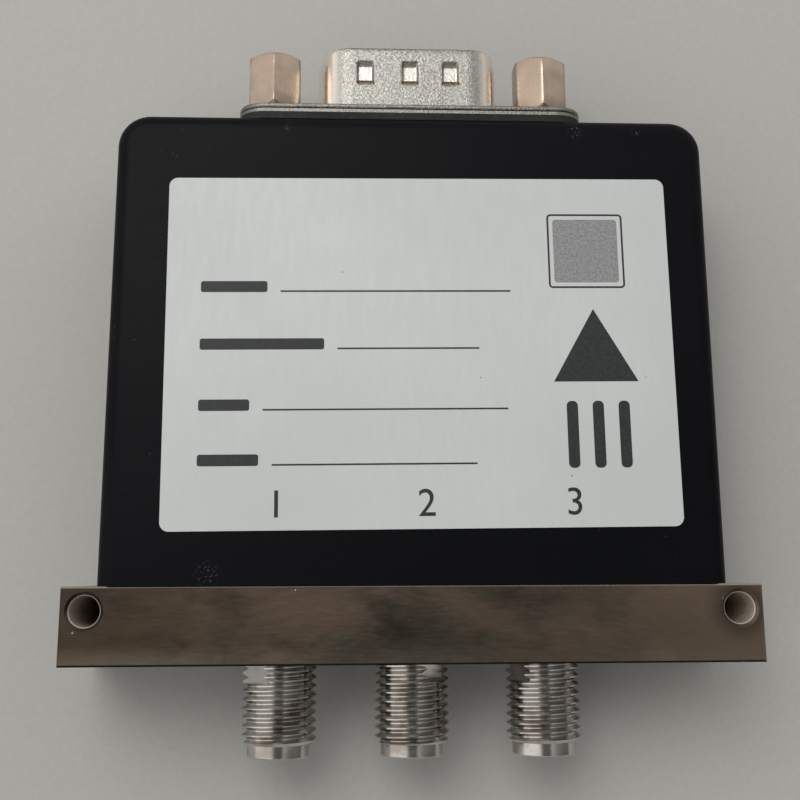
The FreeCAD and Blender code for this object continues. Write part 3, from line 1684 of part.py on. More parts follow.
def d_outline(inset):
    """D-shaped face about the origin in the XZ plane, narrow side towards +Z."""
    half_depth = size("shell_depth") / 2 - inset
    slope = math.radians(size("shell_slope"))
    wide = place("shell_width") / 2 - inset / math.cos(slope)
    back = wide + inset * math.tan(slope)
    front = back - (2 * half_depth + inset) * math.tan(slope)
    points = ((-back, -half_depth), (back, -half_depth), (front, half_depth), (-front, half_depth))
    corners = [FreeCAD.Vector(x, 0, z) for x, z in points]
    return Part.Face(Part.makePolygon(corners + corners[:1]))


def d_prism(inset, bottom, height):
    """D-shaped prism with rounded corners, standing on a level."""
    solid = d_outline(inset).extrude(FreeCAD.Vector(0, height, 0))
    upright = [edge for edge in solid.Edges if abs(edge.tangentAt(0).y) > 0.5]
    solid = solid.makeFillet(size("shell_corner") - inset, upright)
    solid.translate(FreeCAD.Vector(0, bottom, place("mid_depth")))
    return solid


def make_gasket():
    studs = [(f"{side} * places.jackscrew_reach", "places.mid_depth") for side, _ in SIDES]
    holes = (
        ("places.stud_hole_diameter", studs),
        (("places.window_width", "sizes.window_depth"), [("0", "places.mid_depth")]),
    )
    gasket = plate_body(
        "gasket_body",
        ("sizes.flange_width", "sizes.flange_depth"),
        "sizes.flange_corner",
        ("0", "places.mid_depth"),
        "places.cover_top",
        "sizes.gasket_thickness",
        holes,
    )
    node("connector_gasket", gasket)


def make_rear_shell():
    studs = [(f"{side} * places.jackscrew_reach", "places.mid_depth") for side, _ in SIDES]
    inner = (
        "places.skirt_width - 2 * sizes.skirt_wall",
        "sizes.skirt_depth - 2 * sizes.skirt_wall",
    )
    sheet = plate_body(
        "rear_sheet_body",
        ("sizes.flange_width", "sizes.flange_depth"),
        "sizes.flange_corner",
        ("0", "places.mid_depth"),
        "places.gasket_top",
        "sizes.rear_sheet",
        (("places.stud_hole_diameter", studs), (inner, [("0", "places.mid_depth")])),
    )
    base = ("0", "places.gasket_top - sizes.skirt_length", "places.mid_depth")
    outside = centred_box(
        "skirt_outside", base, ("places.skirt_width", "sizes.skirt_length", "sizes.skirt_depth")
    )
    inside = centred_box("skirt_inside", base, (inner[0], "sizes.skirt_length", inner[1]))
    skirt = cut("skirt", outside, [inside])
    node("connector_rear_shell", fuse("rear_shell", [sheet, skirt]))


def make_front_shell():
    """Drawn front shell: flange sheet and D-shaped wall with pressed-in dents."""
    wall = size("shell_wall")
    bottom = place("rear_sheet_top")
    height = place("shell_top") - bottom
    outside = d_prism(0.0, bottom, height)
    inside = d_prism(wall, bottom, height)
    sheet = Part.makeBox(
        size("flange_width"),
        size("front_sheet"),
        size("flange_depth"),
        FreeCAD.Vector(
            -size("flange_width") / 2, bottom, place("mid_depth") - size("flange_depth") / 2
        ),
    )
    upright = [edge for edge in sheet.Edges if abs(edge.tangentAt(0).y) > 0.5]
    sheet = sheet.makeFillet(size("flange_corner"), upright)
    shell = sheet.fuse(outside).cut(inside)
    for side, _ in SIDES:
        hole = Part.makeCylinder(
            place("stud_hole_diameter") / 2,
            size("front_sheet"),
            FreeCAD.Vector(side * place("jackscrew_reach"), bottom, place("mid_depth")),
            FreeCAD.Vector(0, 1, 0),
        )
        shell = shell.cut(hole)
    depth = size("dent_depth")
    low = place("shell_top") - size("dent_drop") - size("dent_height")
    for direction in (-1, 1):
        face = place("mid_depth") + direction * size("shell_depth") / 2
        for name in ("left", "middle", "right"):
            x = size(f"dent_{name}") - size("dent_width") / 2
            outer = min(face, face - direction * depth)
            press = Part.makeBox(
                size("dent_width"),
                size("dent_height"),
                depth,
                FreeCAD.Vector(x, low, outer),
            )
            bump = press.copy()
            bump.translate(FreeCAD.Vector(0, 0, -direction * wall))
            slit = Part.makeBox(
                size("dent_width"),
                size("dent_slot_height"),
                wall + depth,
                FreeCAD.Vector(
                    x, low - size("dent_slot_height"), min(face, face - direction * (wall + depth))
                ),
            )
            shell = shell.fuse(bump).cut(press).cut(slit)
    node("connector_front_shell", computed("front_shell", shell))


def make_insulator():
    """Moulded body inside the shells, with a bore for each pin."""
    gap = size("insulator_clearance")
    bottom = place("gasket_top") - size("insulator_drop")
    level = place("rear_sheet_top")
    width = place("skirt_width") - 2 * size("skirt_wall") - 2 * gap
    depth = size("skirt_depth") - 2 * size("skirt_wall") - 2 * gap
    rear = Part.makeBox(
        width,
        level - bottom,
        depth,
        FreeCAD.Vector(-width / 2, bottom, place("mid_depth") - depth / 2),
    )
    rise = size("front_sheet") + size("insulator_rise")
    front = d_prism(size("shell_wall") + gap, level, rise)
    body = rear.fuse(front)
    for x, z in pin_points():
        bore = Part.makeCylinder(
            size("pin_diameter") / 2 + size("press_clearance"),
            level + rise - bottom,
            FreeCAD.Vector(x, bottom, z),
            FreeCAD.Vector(0, 1, 0),
        )
        body = body.cut(bore)
    node("connector_insulator", computed("insulator", body))


def pin_points():
    """The pins' places as numbers."""
    rows = ((-1, (-2, -1, 0, 1, 2)), (1, (-1.5, -0.5, 0.5, 1.5)))
    return [
        (number * size("pin_pitch"), place("mid_depth") + row * size("pin_row_pitch") / 2)
        for row, numbers in rows
        for number in numbers
    ]


def make_pins():
    """Nine pins with domed tips, from under the driver board to below the shell's rim."""
    pins = []
    radius = size("pin_diameter") / 2
    bottom = place("board_bottom") - size("lead_projection")
    top = place("shell_top") - size("pin_recess")
    for x, z in pin_points():
        shank = Part.makeCylinder(
            radius, top - radius - bottom, FreeCAD.Vector(x, bottom, z), FreeCAD.Vector(0, 1, 0)
        )
        dome = Part.makeSphere(radius, FreeCAD.Vector(x, top - radius, z))
        pins.append(shank.fuse(dome).removeSplitter())
    node("connector_pins", computed("pins", Part.makeCompound(pins)))


def make_jackscrews():
    screws = []
    mid = "places.mid_depth"
    across_corners = "sizes.jackscrew_across_flats / cos(30deg)"
    chamfer_small = f"{across_corners} - 2 * sizes.jackscrew_chamfer_inset"
    for side, name in SIDES:
        x = f"{side} * places.jackscrew_reach"
        prism = doc.addObject("Part::Prism", f"hexagon_{name}")
        prism.Polygon = 6
        corner_forward = FreeCAD.Rotation(FreeCAD.Vector(0, 0, 1), 30)
        prism.Placement = FreeCAD.Placement(
            FreeCAD.Vector(), TURNS[UPWARD].multiply(corner_forward)
        )
        bind(prism, Circumradius=f"{across_corners} / 2", Height="sizes.jackscrew_hex_length")
        seat(prism, (x, "places.hex_bottom", mid))
        chamfer = "sizes.jackscrew_chamfer"
        low = cone(
            f"hex_chamfer_low_{name}",
            UPWARD,
            (x, "places.hex_bottom", mid),
            chamfer_small,
            across_corners,
            chamfer,
        )
        straight = cylinder(
            f"hex_straight_{name}",
            UPWARD,
            (x, f"places.hex_bottom + {chamfer}", mid),
            across_corners,
            f"sizes.jackscrew_hex_length - 2 * {chamfer}",
        )
        high = cone(
            f"hex_chamfer_high_{name}",
            UPWARD,
            (x, f"places.hex_top - {chamfer}", mid),
            across_corners,
            chamfer_small,
            chamfer,
        )
        envelope = fuse(f"hex_envelope_{name}", [low, straight, high])
        hexagon = common(f"hex_{name}", prism, envelope)
        stud_bottom = "places.frame_top - sizes.frame_tab_thickness"
        stud = cylinder(
            f"stud_{name}",
            UPWARD,
            (x, stud_bottom, mid),
            "sizes.jackscrew_stud_diameter",
            f"places.hex_bottom - ({stud_bottom})",
        )
        bore = cylinder(
            f"jackscrew_bore_{name}",
            UPWARD,
            (x, "places.hex_top - sizes.jackscrew_bore_depth", mid),
            "sizes.jackscrew_bore_diameter",
            "sizes.jackscrew_bore_depth",
        )
        mouth = cone(
            f"jackscrew_mouth_{name}",
            UPWARD,
            (x, "places.hex_top - sizes.jackscrew_bore_chamfer", mid),
            "sizes.jackscrew_bore_diameter",
            "sizes.jackscrew_bore_diameter + 2 * sizes.jackscrew_bore_chamfer",
            "sizes.jackscrew_bore_chamfer",
        )
        solid = fuse(f"jackscrew_solid_{name}", [hexagon, stud])
        screws.append(cut(f"jackscrew_{name}", solid, [bore, mouth]))
    node("jackscrews", group("jackscrew_set", screws))


def make_washers():
    washers = []
    for side, name in SIDES:
        base = (f"{side} * places.jackscrew_reach", "places.flange_top", "places.mid_depth")
        thickness = "sizes.washer_thickness"
        ring = cylinder(f"washer_ring_{name}", UPWARD, base, "sizes.washer_diameter", thickness)
        hole_size = "sizes.jackscrew_stud_diameter + 2 * sizes.press_clearance"
        hole = cylinder(f"washer_hole_{name}", UPWARD, base, hole_size, thickness)
        gap = box(
            f"washer_gap_{name}",
            (base[0], base[1], f"{base[2]} - sizes.washer_split / 2"),
            ("sizes.washer_diameter", thickness, "sizes.washer_split"),
        )
        washers.append(cut(f"washer_{name}", ring, [hole, gap]))
    node("lock_washers", group("washer_set", washers))


def build():
    make_rf_body()
    make_lid()
    make_ports()
    make_posts()
    make_bushings()
    for side, name in SIDES:
        make_reed(side, name)
        make_rod(side, name)
        make_spring(side, name)
        make_coil(side, name)
        make_indicator(side, name)
    make_rocker()
    make_frame()
    make_coil_terminals()
    make_yoke()
    make_magnet()
    make_indicator_contacts()
    make_board()
    make_cover()
    make_label()
    make_gasket()
    make_rear_shell()
    make_front_shell()
    make_insulator()
    make_pins()
    make_jackscrews()
    make_washers()
    doc.recompute()


def check():
    """Every object has to be up to date and every piece a sound solid."""
    for item in doc.Objects:
        if "Invalid" in item.State or "Error" in item.State:
            raise ValueError(f"{item.Label} failed: {item.State}")
    for piece in nodes:
        if piece.Shape.isNull() or not piece.Shape.isValid() or not piece.Shape.Solids:
            raise ValueError(f"{piece.Label} has no valid solid")


def write():
    os.makedirs("parts", exist_ok=True)
    for piece in nodes:
        piece.Shape.exportStep(os.path.join("parts", piece.Label + ".step"))
        print(f"{piece.Label}: {len(piece.Shape.Solids)} solids, {piece.Shape.Volume:.2f} mm3")


build()
check()
write()
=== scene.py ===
import json
import math

import bmesh
import bpy
from mathutils import Euler, Matrix, Vector


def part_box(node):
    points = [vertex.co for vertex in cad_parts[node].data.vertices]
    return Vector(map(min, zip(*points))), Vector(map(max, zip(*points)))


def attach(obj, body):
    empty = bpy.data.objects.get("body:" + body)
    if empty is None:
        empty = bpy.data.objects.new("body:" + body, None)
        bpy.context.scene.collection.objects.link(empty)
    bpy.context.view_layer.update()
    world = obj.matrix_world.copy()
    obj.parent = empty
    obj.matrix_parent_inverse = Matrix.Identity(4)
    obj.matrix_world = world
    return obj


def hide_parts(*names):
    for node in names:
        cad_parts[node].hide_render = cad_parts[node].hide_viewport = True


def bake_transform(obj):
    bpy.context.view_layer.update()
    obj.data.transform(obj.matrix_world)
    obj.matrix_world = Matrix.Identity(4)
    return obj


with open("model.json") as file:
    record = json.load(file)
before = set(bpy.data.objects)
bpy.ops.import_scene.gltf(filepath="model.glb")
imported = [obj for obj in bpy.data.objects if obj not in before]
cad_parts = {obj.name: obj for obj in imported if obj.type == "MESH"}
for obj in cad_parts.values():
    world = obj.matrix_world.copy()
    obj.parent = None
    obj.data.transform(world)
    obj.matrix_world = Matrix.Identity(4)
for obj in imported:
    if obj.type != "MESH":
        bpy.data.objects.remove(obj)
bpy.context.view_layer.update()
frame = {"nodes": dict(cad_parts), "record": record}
nodes = frame["nodes"]
finishes = {subpart["node"]: subpart["material_slot"] for subpart in frame["record"]["subparts"]}

MM = 0.001
HOUSING = "housing"

# Places from the CAD model, in metres.
# Y runs from the ports to the connector, and Z from the floor to the label.
PLATE_LOW, PLATE_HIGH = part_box("rf_body")
HOLE_PLACE = 26.47 * MM
HOLE_RADIUS = 1.25 * MM
COVER_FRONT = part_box("cover")[1].z
LABEL_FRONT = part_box("label")[1].z
SHELL_LOW, SHELL_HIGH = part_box("connector_front_shell")
SHEET = 0.48 * MM


# ---------------------------------------------------------------------------
# Node networks
# ---------------------------------------------------------------------------


class Net:
    """A procedural material. Sockets take numbers, colours or other nodes' outputs."""

    def __init__(self, name):
        self.material = bpy.data.materials.new(name)
        self.material.use_nodes = True
        self.tree = self.material.node_tree
        self.shader = self.tree.nodes["Principled BSDF"]
        self.place = self.tree.nodes.new("ShaderNodeTexCoord").outputs["Object"]

    def link(self, value, socket):
        """Connects an output to a socket, or gives the socket a number or colour."""
        if isinstance(value, bpy.types.NodeSocket):
            self.tree.links.new(value, socket)
        elif hasattr(value, "__len__"):
            size = len(socket.default_value)
            socket.default_value = tuple(value)[:size] + (1.0,) * max(0, size - len(value))
        else:
            socket.default_value = value

    def set(self, **inputs):
        """Sets the shader's inputs by name, with _ for a space."""
        for name, value in inputs.items():
            self.link(value, self.shader.inputs[name.replace("_", " ")])

    def mapped(self, scale=(1, 1, 1), rotation=(0, 0, 0), offset=(0, 0, 0)):
        """The object's coordinates, stretched, turned and moved."""
        node = self.tree.nodes.new("ShaderNodeMapping")
        self.link(self.place, node.inputs["Vector"])
        node.inputs["Scale"].default_value = scale
        node.inputs["Rotation"].default_value = rotation
        node.inputs["Location"].default_value = offset
        return node.outputs[0]

    def noise(self, scale, detail=3.0, roughness=0.55, vector=None, distortion=0.0):
        node = self.tree.nodes.new("ShaderNodeTexNoise")
        self.link(vector or self.place, node.inputs["Vector"])
        node.inputs["Scale"].default_value = scale
        node.inputs["Detail"].default_value = detail
        node.inputs["Roughness"].default_value = roughness
        node.inputs["Distortion"].default_value = distortion
        return node.outputs["Fac"]

    def cells(self, scale, feature="F1"):
        node = self.tree.nodes.new("ShaderNodeTexVoronoi")
        node.feature = feature
        self.link(self.place, node.inputs["Vector"])
        node.inputs["Scale"].default_value = scale
        return node.outputs["Distance"]

    def ramp(self, value, low, high, from_value=0.0, to_value=1.0, smooth=True):
        """from_value where value is under low, to_value where it is over high."""
        node = self.tree.nodes.new("ShaderNodeMapRange")
        node.interpolation_type = "SMOOTHSTEP" if smooth else "LINEAR"
        self.link(value, node.inputs["Value"])
        node.inputs["From Min"].default_value = low
        node.inputs["From Max"].default_value = high
        node.inputs["To Min"].default_value = from_value
        node.inputs["To Max"].default_value = to_value
        return node.outputs["Result"]

    def math(self, operation, first, second=0.0):
        node = self.tree.nodes.new("ShaderNodeMath")
        node.operation = operation
        self.link(first, node.inputs[0])
        self.link(second, node.inputs[1])
        return node.outputs[0]

    def mix(self, fraction, first, second):
        """The first colour where fraction is 0, the second where it is 1."""
        node = self.tree.nodes.new("ShaderNodeMix")
        node.data_type = "RGBA"
        self.link(fraction, node.inputs[0])
        self.link(first, node.inputs[6])
        self.link(second, node.inputs[7])
        return node.outputs[2]

    def axis(self, letter):
        """One coordinate of the object, in metres."""
        node = self.tree.nodes.new("ShaderNodeSeparateXYZ")
        self.link(self.place, node.inputs[0])
        return node.outputs[letter]

    def distance(self, point, scale=(1, 1, 1)):
        """Distance from a point, in metres, with each axis weighted."""
        move = self.tree.nodes.new("ShaderNodeVectorMath")
        move.operation = "SUBTRACT"
        self.link(self.place, move.inputs[0])
        move.inputs[1].default_value = point
        stretch = self.tree.nodes.new("ShaderNodeVectorMath")
        stretch.operation = "MULTIPLY"
        self.link(move.outputs[0], stretch.inputs[0])
        stretch.inputs[1].default_value = scale
        length = self.tree.nodes.new("ShaderNodeVectorMath")
        length.operation = "LENGTH"
        self.link(stretch.outputs[0], length.inputs[0])
        return length.outputs["Value"]

    def bump(self, height, distance, strength, after=None):
        """A normal for a height of 0 to 1 over a distance in metres, on top of another normal."""
        node = self.tree.nodes.new("ShaderNodeBump")
        node.inputs["Strength"].default_value = strength
        node.inputs["Distance"].default_value = distance
        self.link(height, node.inputs["Height"])
        if after is not None:
            self.link(after, node.inputs["Normal"])
        return node.outputs["Normal"]


# ---------------------------------------------------------------------------
# Materials
# ---------------------------------------------------------------------------

# Where the cover's paint is rubbed: X, Y and radius, in millimetres
COVER_SCUFFS = ((-11.1, 41.1, 0.75), (14.4, 41.0, 1.0), (19.9, 40.9, 0.7), (-16.9, 3.0, 1.4))


def cover_paint():
    """Satin black paint with a few pale specks and rubbed spots."""
    net = Net("cover_paint")
    grain = net.noise(9000, 2.0, 0.6)
    cloud = net.noise(90, 4.0, 0.6)
    base = net.mix(net.ramp(cloud, 0.35, 0.7), (0.0022, 0.0026, 0.0040), (0.0032, 0.0036, 0.0050))
    speck = net.ramp(net.cells(1500), 0.05, 0.11, 1.0, 0.0)
    patch = net.ramp(net.noise(160, 3.0, 0.6), 0.56, 0.68)
    speck = net.math("MULTIPLY", speck, patch)
    base = net.mix(speck, base, (0.07, 0.075, 0.08))
    scuffs = 0.0
    for x, y, radius in COVER_SCUFFS:
        near = net.ramp(net.distance((x * MM, y * MM, COVER_FRONT)), 0.0, radius * MM, 1.0, 0.0)
        scuffs = net.math("MAXIMUM", scuffs, near)
    fine = net.ramp(net.noise(4200, 3.0, 0.7), 0.56, 0.66)
    scuffs = net.math("MULTIPLY", scuffs, fine)
    base = net.mix(scuffs, base, (0.09, 0.09, 0.09))
    rough = net.ramp(grain, 0.3, 0.7, 0.34, 0.46, smooth=False)
    net.set(Base_Color=base, Roughness=rough)
    net.shader.inputs["Specular IOR Level"].default_value = 0.075
    fine_bump = net.bump(grain, 0.02 * MM, 0.35)
    net.set(Normal=net.bump(cloud, 0.12 * MM, 0.12, after=fine_bump))
    return net.material


def label_film():
    """Pale brushed film with rare dark specks."""
    net = Net("label_film")
    cloud = net.noise(60, 3.0, 0.5)
    base = net.mix(net.ramp(cloud, 0.3, 0.7), (0.555, 0.585, 0.575), (0.60, 0.625, 0.61))
    fibre = net.noise(1500, 3.0, 0.6, vector=net.mapped((1, 0.2, 1)))
    base = net.mix(net.ramp(fibre, 0.35, 0.65, 0.0, 0.25), base, (0.52, 0.55, 0.545))
    speck = net.ramp(net.cells(420), 0.02, 0.045, 1.0, 0.0)
    speck = net.math("MULTIPLY", speck, net.ramp(net.noise(300, 2.0), 0.5, 0.6))
    base = net.mix(speck, base, (0.12, 0.12, 0.12))
    net.set(Base_Color=base, Roughness=net.ramp(fibre, 0.3, 0.7, 0.34, 0.46, smooth=False))
    net.shader.inputs["Specular IOR Level"].default_value = 0.4
    net.set(Normal=net.bump(fibre, 0.01 * MM, 0.2))
    return net.material


def label_ink():
    """Dark print, slightly uneven."""
    net = Net("label_ink")
    spread = net.noise(6000, 3.0, 0.6)
    base = net.mix(net.ramp(spread, 0.3, 0.7), (0.012, 0.014, 0.015), (0.03, 0.032, 0.034))
    net.set(Base_Color=base, Roughness=net.ramp(spread, 0.3, 0.7, 0.4, 0.55, smooth=False))
    net.shader.inputs["Specular IOR Level"].default_value = 0.35
    net.set(Normal=net.bump(spread, 0.008 * MM, 0.3))
    return net.material


def label_tint():
    """Grey print of the blank square."""
    net = Net("label_tint")
    spread = net.noise(5000, 3.0, 0.6)
    base = net.mix(net.ramp(spread, 0.35, 0.65), (0.20, 0.205, 0.21), (0.30, 0.31, 0.31))
    net.set(Base_Color=base, Roughness=net.ramp(spread, 0.3, 0.7, 0.42, 0.55, smooth=False))
    net.set(Normal=net.bump(spread, 0.008 * MM, 0.3))
    return net.material


def plated_body():
    """Dull nickel plate: brown and green clouds, with a painted reflection: darker to the left, lighter
    and warmer to the right.
    """
    net = Net("plated_body")
    large = net.noise(95, 4.0, 0.55, vector=net.mapped((1.0, 1.6, 1.0)), distortion=0.6)
    green = net.noise(140, 3.0, 0.55, vector=net.mapped((1, 1.3, 1), offset=(0.3, 0.1, 0)))
    dark = net.noise(210, 4.0, 0.6, vector=net.mapped((0.8, 1.5, 1), offset=(0.7, 0.5, 0)))
    base = net.mix(net.ramp(large, 0.38, 0.62), (0.128, 0.108, 0.082), (0.148, 0.104, 0.078))
    base = net.mix(net.ramp(green, 0.5, 0.68, 0.0, 0.7), base, (0.112, 0.106, 0.080))
    base = net.mix(net.ramp(dark, 0.5, 0.7, 0.0, 0.7), base, (0.060, 0.050, 0.041))
    # Painted reflection: darker towards the left, lighter and warmer towards the right.
    x = net.axis("X")
    base = net.mix(net.ramp(x, -27 * MM, -6 * MM, 0.7, 0.0), base, (0.055, 0.036, 0.022))
    base = net.mix(net.ramp(x, 2 * MM, 26 * MM, 0.0, 0.55), base, (0.275, 0.195, 0.142))
    rise = net.axis("Y")
    base = net.mix(net.ramp(rise, -4.2 * MM, -2.4 * MM, 0.5, 0.0), base, (0.235, 0.200, 0.155))
    # Painted light inside the mounting holes: their walls are pale and less metallic, so they show
    # bright.
    painted_light_walls = 0.0
    for side in (-1, 1):
        from_axis = net.distance((side * HOLE_PLACE, 0, PLATE_HIGH.z), (1, 1, 0))
        halo = net.ramp(from_axis, HOLE_RADIUS + 0.15 * MM, HOLE_RADIUS + 1.85 * MM, 0.7, 0.0)
        base = net.mix(halo, base, (0.075, 0.062, 0.050))
        inside = net.ramp(from_axis, HOLE_RADIUS + 0.01 * MM, HOLE_RADIUS + 0.09 * MM, 1.0, 0.0)
        painted_light_walls = net.math("MAXIMUM", painted_light_walls, inside)
    base = net.mix(painted_light_walls, base, (0.62, 0.56, 0.49))
    # Painted highlight along the front face's upper edge, and painted shade along its lower edge.
    front = net.ramp(net.axis("Z"), PLATE_HIGH.z - 0.7 * MM, PLATE_HIGH.z - 0.2 * MM)
    painted_edge_highlight = net.ramp(rise, PLATE_HIGH.y - 0.17 * MM, PLATE_HIGH.y - 0.09 * MM)
    base = net.mix(net.math("MULTIPLY", front, painted_edge_highlight), base, (0.42, 0.38, 0.33))
    shaded = net.ramp(rise, PLATE_LOW.y + 0.13 * MM, PLATE_LOW.y + 0.19 * MM, 1.0, 0.0)
    base = net.mix(net.math("MULTIPLY", front, shaded), base, (0.020, 0.018, 0.016))
    swirl = net.tree.nodes.new("ShaderNodeTexWave")
    swirl.wave_type = "RINGS"
    swirl.rings_direction = "Z"
    net.link(net.mapped((1, 1, 1), offset=(-0.009, 0.012, 0)), swirl.inputs["Vector"])
    swirl.inputs["Scale"].default_value = 420
    swirl.inputs["Distortion"].default_value = 6.0
    swirl.inputs["Detail"].default_value = 3.0
    scratch = net.noise(2600, 4.0, 0.75, vector=net.mapped((0.25, 1.6, 1.0), rotation=(0, 0, 0.5)))
    nick = net.ramp(net.cells(600), 0.03, 0.08, 1.0, 0.0)
    nick = net.math("MULTIPLY", nick, net.ramp(net.noise(260, 2.0), 0.55, 0.65))
    base = net.mix(nick, base, (0.26, 0.23, 0.20))
    rough = net.ramp(large, 0.3, 0.7, 0.25, 0.35)
    rough = net.math("ADD", rough, net.ramp(scratch, 0.4, 0.7, 0.0, 0.05))
    # The painted light walls are also less metallic.
    metallic = net.math("SUBTRACT", 1.0, net.math("MULTIPLY", painted_light_walls, 0.75))
    net.set(Base_Color=base, Metallic=metallic, Roughness=rough)
    scratched = net.bump(scratch, 0.006 * MM, 0.18)
    swirled = net.bump(swirl.outputs["Fac"], 0.004 * MM, 0.05, after=scratched)
    net.set(Normal=net.bump(nick, -0.03 * MM, 0.4, after=swirled))
    return net.material


def port_steel():
    """Turned steel with fine rings around its axis."""
    net = Net("port_steel")
    turning = net.noise(1.0, 3.0, 0.6, vector=net.mapped((350, 16000, 350)))
    stain = net.noise(380, 4.0, 0.6)
    base = net.mix(net.ramp(stain, 0.45, 0.7), (0.62, 0.60, 0.57), (0.40, 0.355, 0.32))
    rough = net.ramp(turning, 0.3, 0.7, 0.13, 0.22)
    net.set(Base_Color=base, Metallic=1.0, Roughness=rough)
    net.set(Normal=net.bump(turning, 0.004 * MM, 0.3))
    return net.material


def connector_tin():
    """Pressed tin-plated sheet: coarse grain on the front wall, and a painted reflection that makes the
    smooth sides bright.
    """
    net = Net("connector_tin")
    grain = net.noise(4600, 4.0, 0.8)
    pits = net.cells(5200)
    patch = net.noise(260, 3.0, 0.5)
    front = net.ramp(net.axis("Z"), 10.7 * MM, 11.5 * MM)
    base = net.mix(net.ramp(patch, 0.35, 0.65), (0.36, 0.35, 0.325), (0.44, 0.428, 0.40))
    base = net.mix(net.ramp(grain, 0.42, 0.58, 0.65, 0.0), base, (0.13, 0.127, 0.115))
    # Painted reflection: the sides are painted far brighter than the front wall.
    base = net.mix(front, (0.93, 0.85, 0.775), base)
    rise = net.axis("Y")
    # Painted shade: the flange is darker than the shell, with a painted shadow in the seam between the
    # two sheets.
    flange_top = SHELL_LOW.y + SHEET
    flange = net.ramp(rise, flange_top + 0.03 * MM, flange_top + 0.09 * MM, 0.85, 0.0)
    base = net.mix(flange, base, (0.19, 0.186, 0.164))
    from_seam = net.math("ABSOLUTE", net.math("SUBTRACT", rise, SHELL_LOW.y))
    painted_seam_shadow = net.ramp(from_seam, 0.04 * MM, 0.09 * MM, 1.0, 0.0)
    base = net.mix(painted_seam_shadow, base, (0.02, 0.019, 0.017))
    rough = net.ramp(patch, 0.3, 0.7, 0.22, 0.33)
    net.set(Base_Color=base, Metallic=1.0, Roughness=rough)
    height = net.math("MULTIPLY", net.math("ADD", grain, net.math("MULTIPLY", pits, 0.5)), front)
    net.set(Normal=net.bump(height, 0.05 * MM, 0.75))
    return net.material


def jackscrew_nickel():
    """Warm nickel on drawn hexagon bar, with a few pits."""
    net = Net("jackscrew_nickel")
    drawn = net.noise(1.0, 3.0, 0.6, vector=net.mapped((5000, 500, 5000)))
    stain = net.noise(420, 4.0, 0.6)
    base = net.mix(net.ramp(stain, 0.4, 0.68), (0.47, 0.365, 0.287), (0.385, 0.31, 0.248))
    pit = net.ramp(net.cells(900), 0.04, 0.08, 1.0, 0.0)
    pit = net.math("MULTIPLY", pit, net.ramp(net.noise(500, 2.0), 0.58, 0.66))
    base = net.mix(pit, base, (0.10, 0.08, 0.07))
    net.set(Base_Color=base, Metallic=1.0, Roughness=net.ramp(drawn, 0.3, 0.7, 0.24, 0.34))
    net.set(Normal=net.bump(drawn, 0.005 * MM, 0.3))
    return net.material


def metal(name, low, high, roughness, scale, stretch=(1, 1, 1), depth=0.006 * MM):
    """Metal between two colours, with grain of a given scale, stretch and depth."""
    net = Net(name)
    grain = net.noise(scale, 4.0, 0.65, vector=net.mapped(stretch))
    stain = net.noise(240, 4.0, 0.6)
    base = net.mix(net.ramp(stain, 0.35, 0.68), low, high)
    net.set(Base_Color=base, Metallic=1.0)
    net.set(Roughness=net.ramp(grain, 0.3, 0.7, roughness[0], roughness[1]))
    net.set(Normal=net.bump(grain, depth, 0.4))
    return net.material


def plastic(name, low, high, roughness, scale=1800, depth=0.012 * MM, specular=0.45):
    """Moulded plastic or rubber between two colours, with a fine grain."""
    net = Net(name)
    grain = net.noise(scale, 4.0, 0.65)
    flow = net.noise(170, 3.0, 0.5)
    net.set(Base_Color=net.mix(net.ramp(flow, 0.35, 0.68), low, high))
    net.set(Roughness=net.ramp(grain, 0.3, 0.7, roughness[0], roughness[1]))
    net.shader.inputs["Specular IOR Level"].default_value = specular
    net.set(Normal=net.bump(grain, depth, 0.4))
    return net.material


def coil_wire():
    """Enamelled copper wire, one turn above the other."""
    net = Net("coil_wire")
    turns = net.tree.nodes.new("ShaderNodeTexWave")
    turns.bands_direction = "Y"
    net.link(net.place, turns.inputs["Vector"])
    turns.inputs["Scale"].default_value = 1150
    turns.inputs["Distortion"].default_value = 0.6
    turns.inputs["Detail"].default_value = 2.0
    stain = net.noise(300, 3.0, 0.6)
    base = net.mix(net.ramp(stain, 0.35, 0.7), (0.55, 0.19, 0.07), (0.36, 0.11, 0.04))
    # Painted shade in the grooves between the turns.
    base = net.mix(net.ramp(turns.outputs["Fac"], 0.0, 0.35, 0.7, 0.0), base, (0.12, 0.03, 0.012))
    net.set(Base_Color=base, Metallic=0.8, Roughness=net.ramp(stain, 0.3, 0.7, 0.25, 0.38))
    net.set(Normal=net.bump(turns.outputs["Fac"], 0.05 * MM, 0.8))
    return net.material


def board_green():
    """Green solder resist with paler tracks under it."""
    net = Net("board_green")
    weave = net.noise(2600, 3.0, 0.6)
    tracks = net.cells(420, feature="DISTANCE_TO_EDGE")
    line = net.ramp(tracks, 0.02, 0.06, 1.0, 0.0)
    base = net.mix(net.ramp(weave, 0.35, 0.65), (0.012, 0.085, 0.035), (0.02, 0.12, 0.05))
    base = net.mix(line, base, (0.05, 0.22, 0.09))
    net.set(Base_Color=base, Roughness=net.ramp(weave, 0.3, 0.7, 0.28, 0.42))
    net.set(Normal=net.bump(line, 0.03 * MM, 0.5))
    return net.material


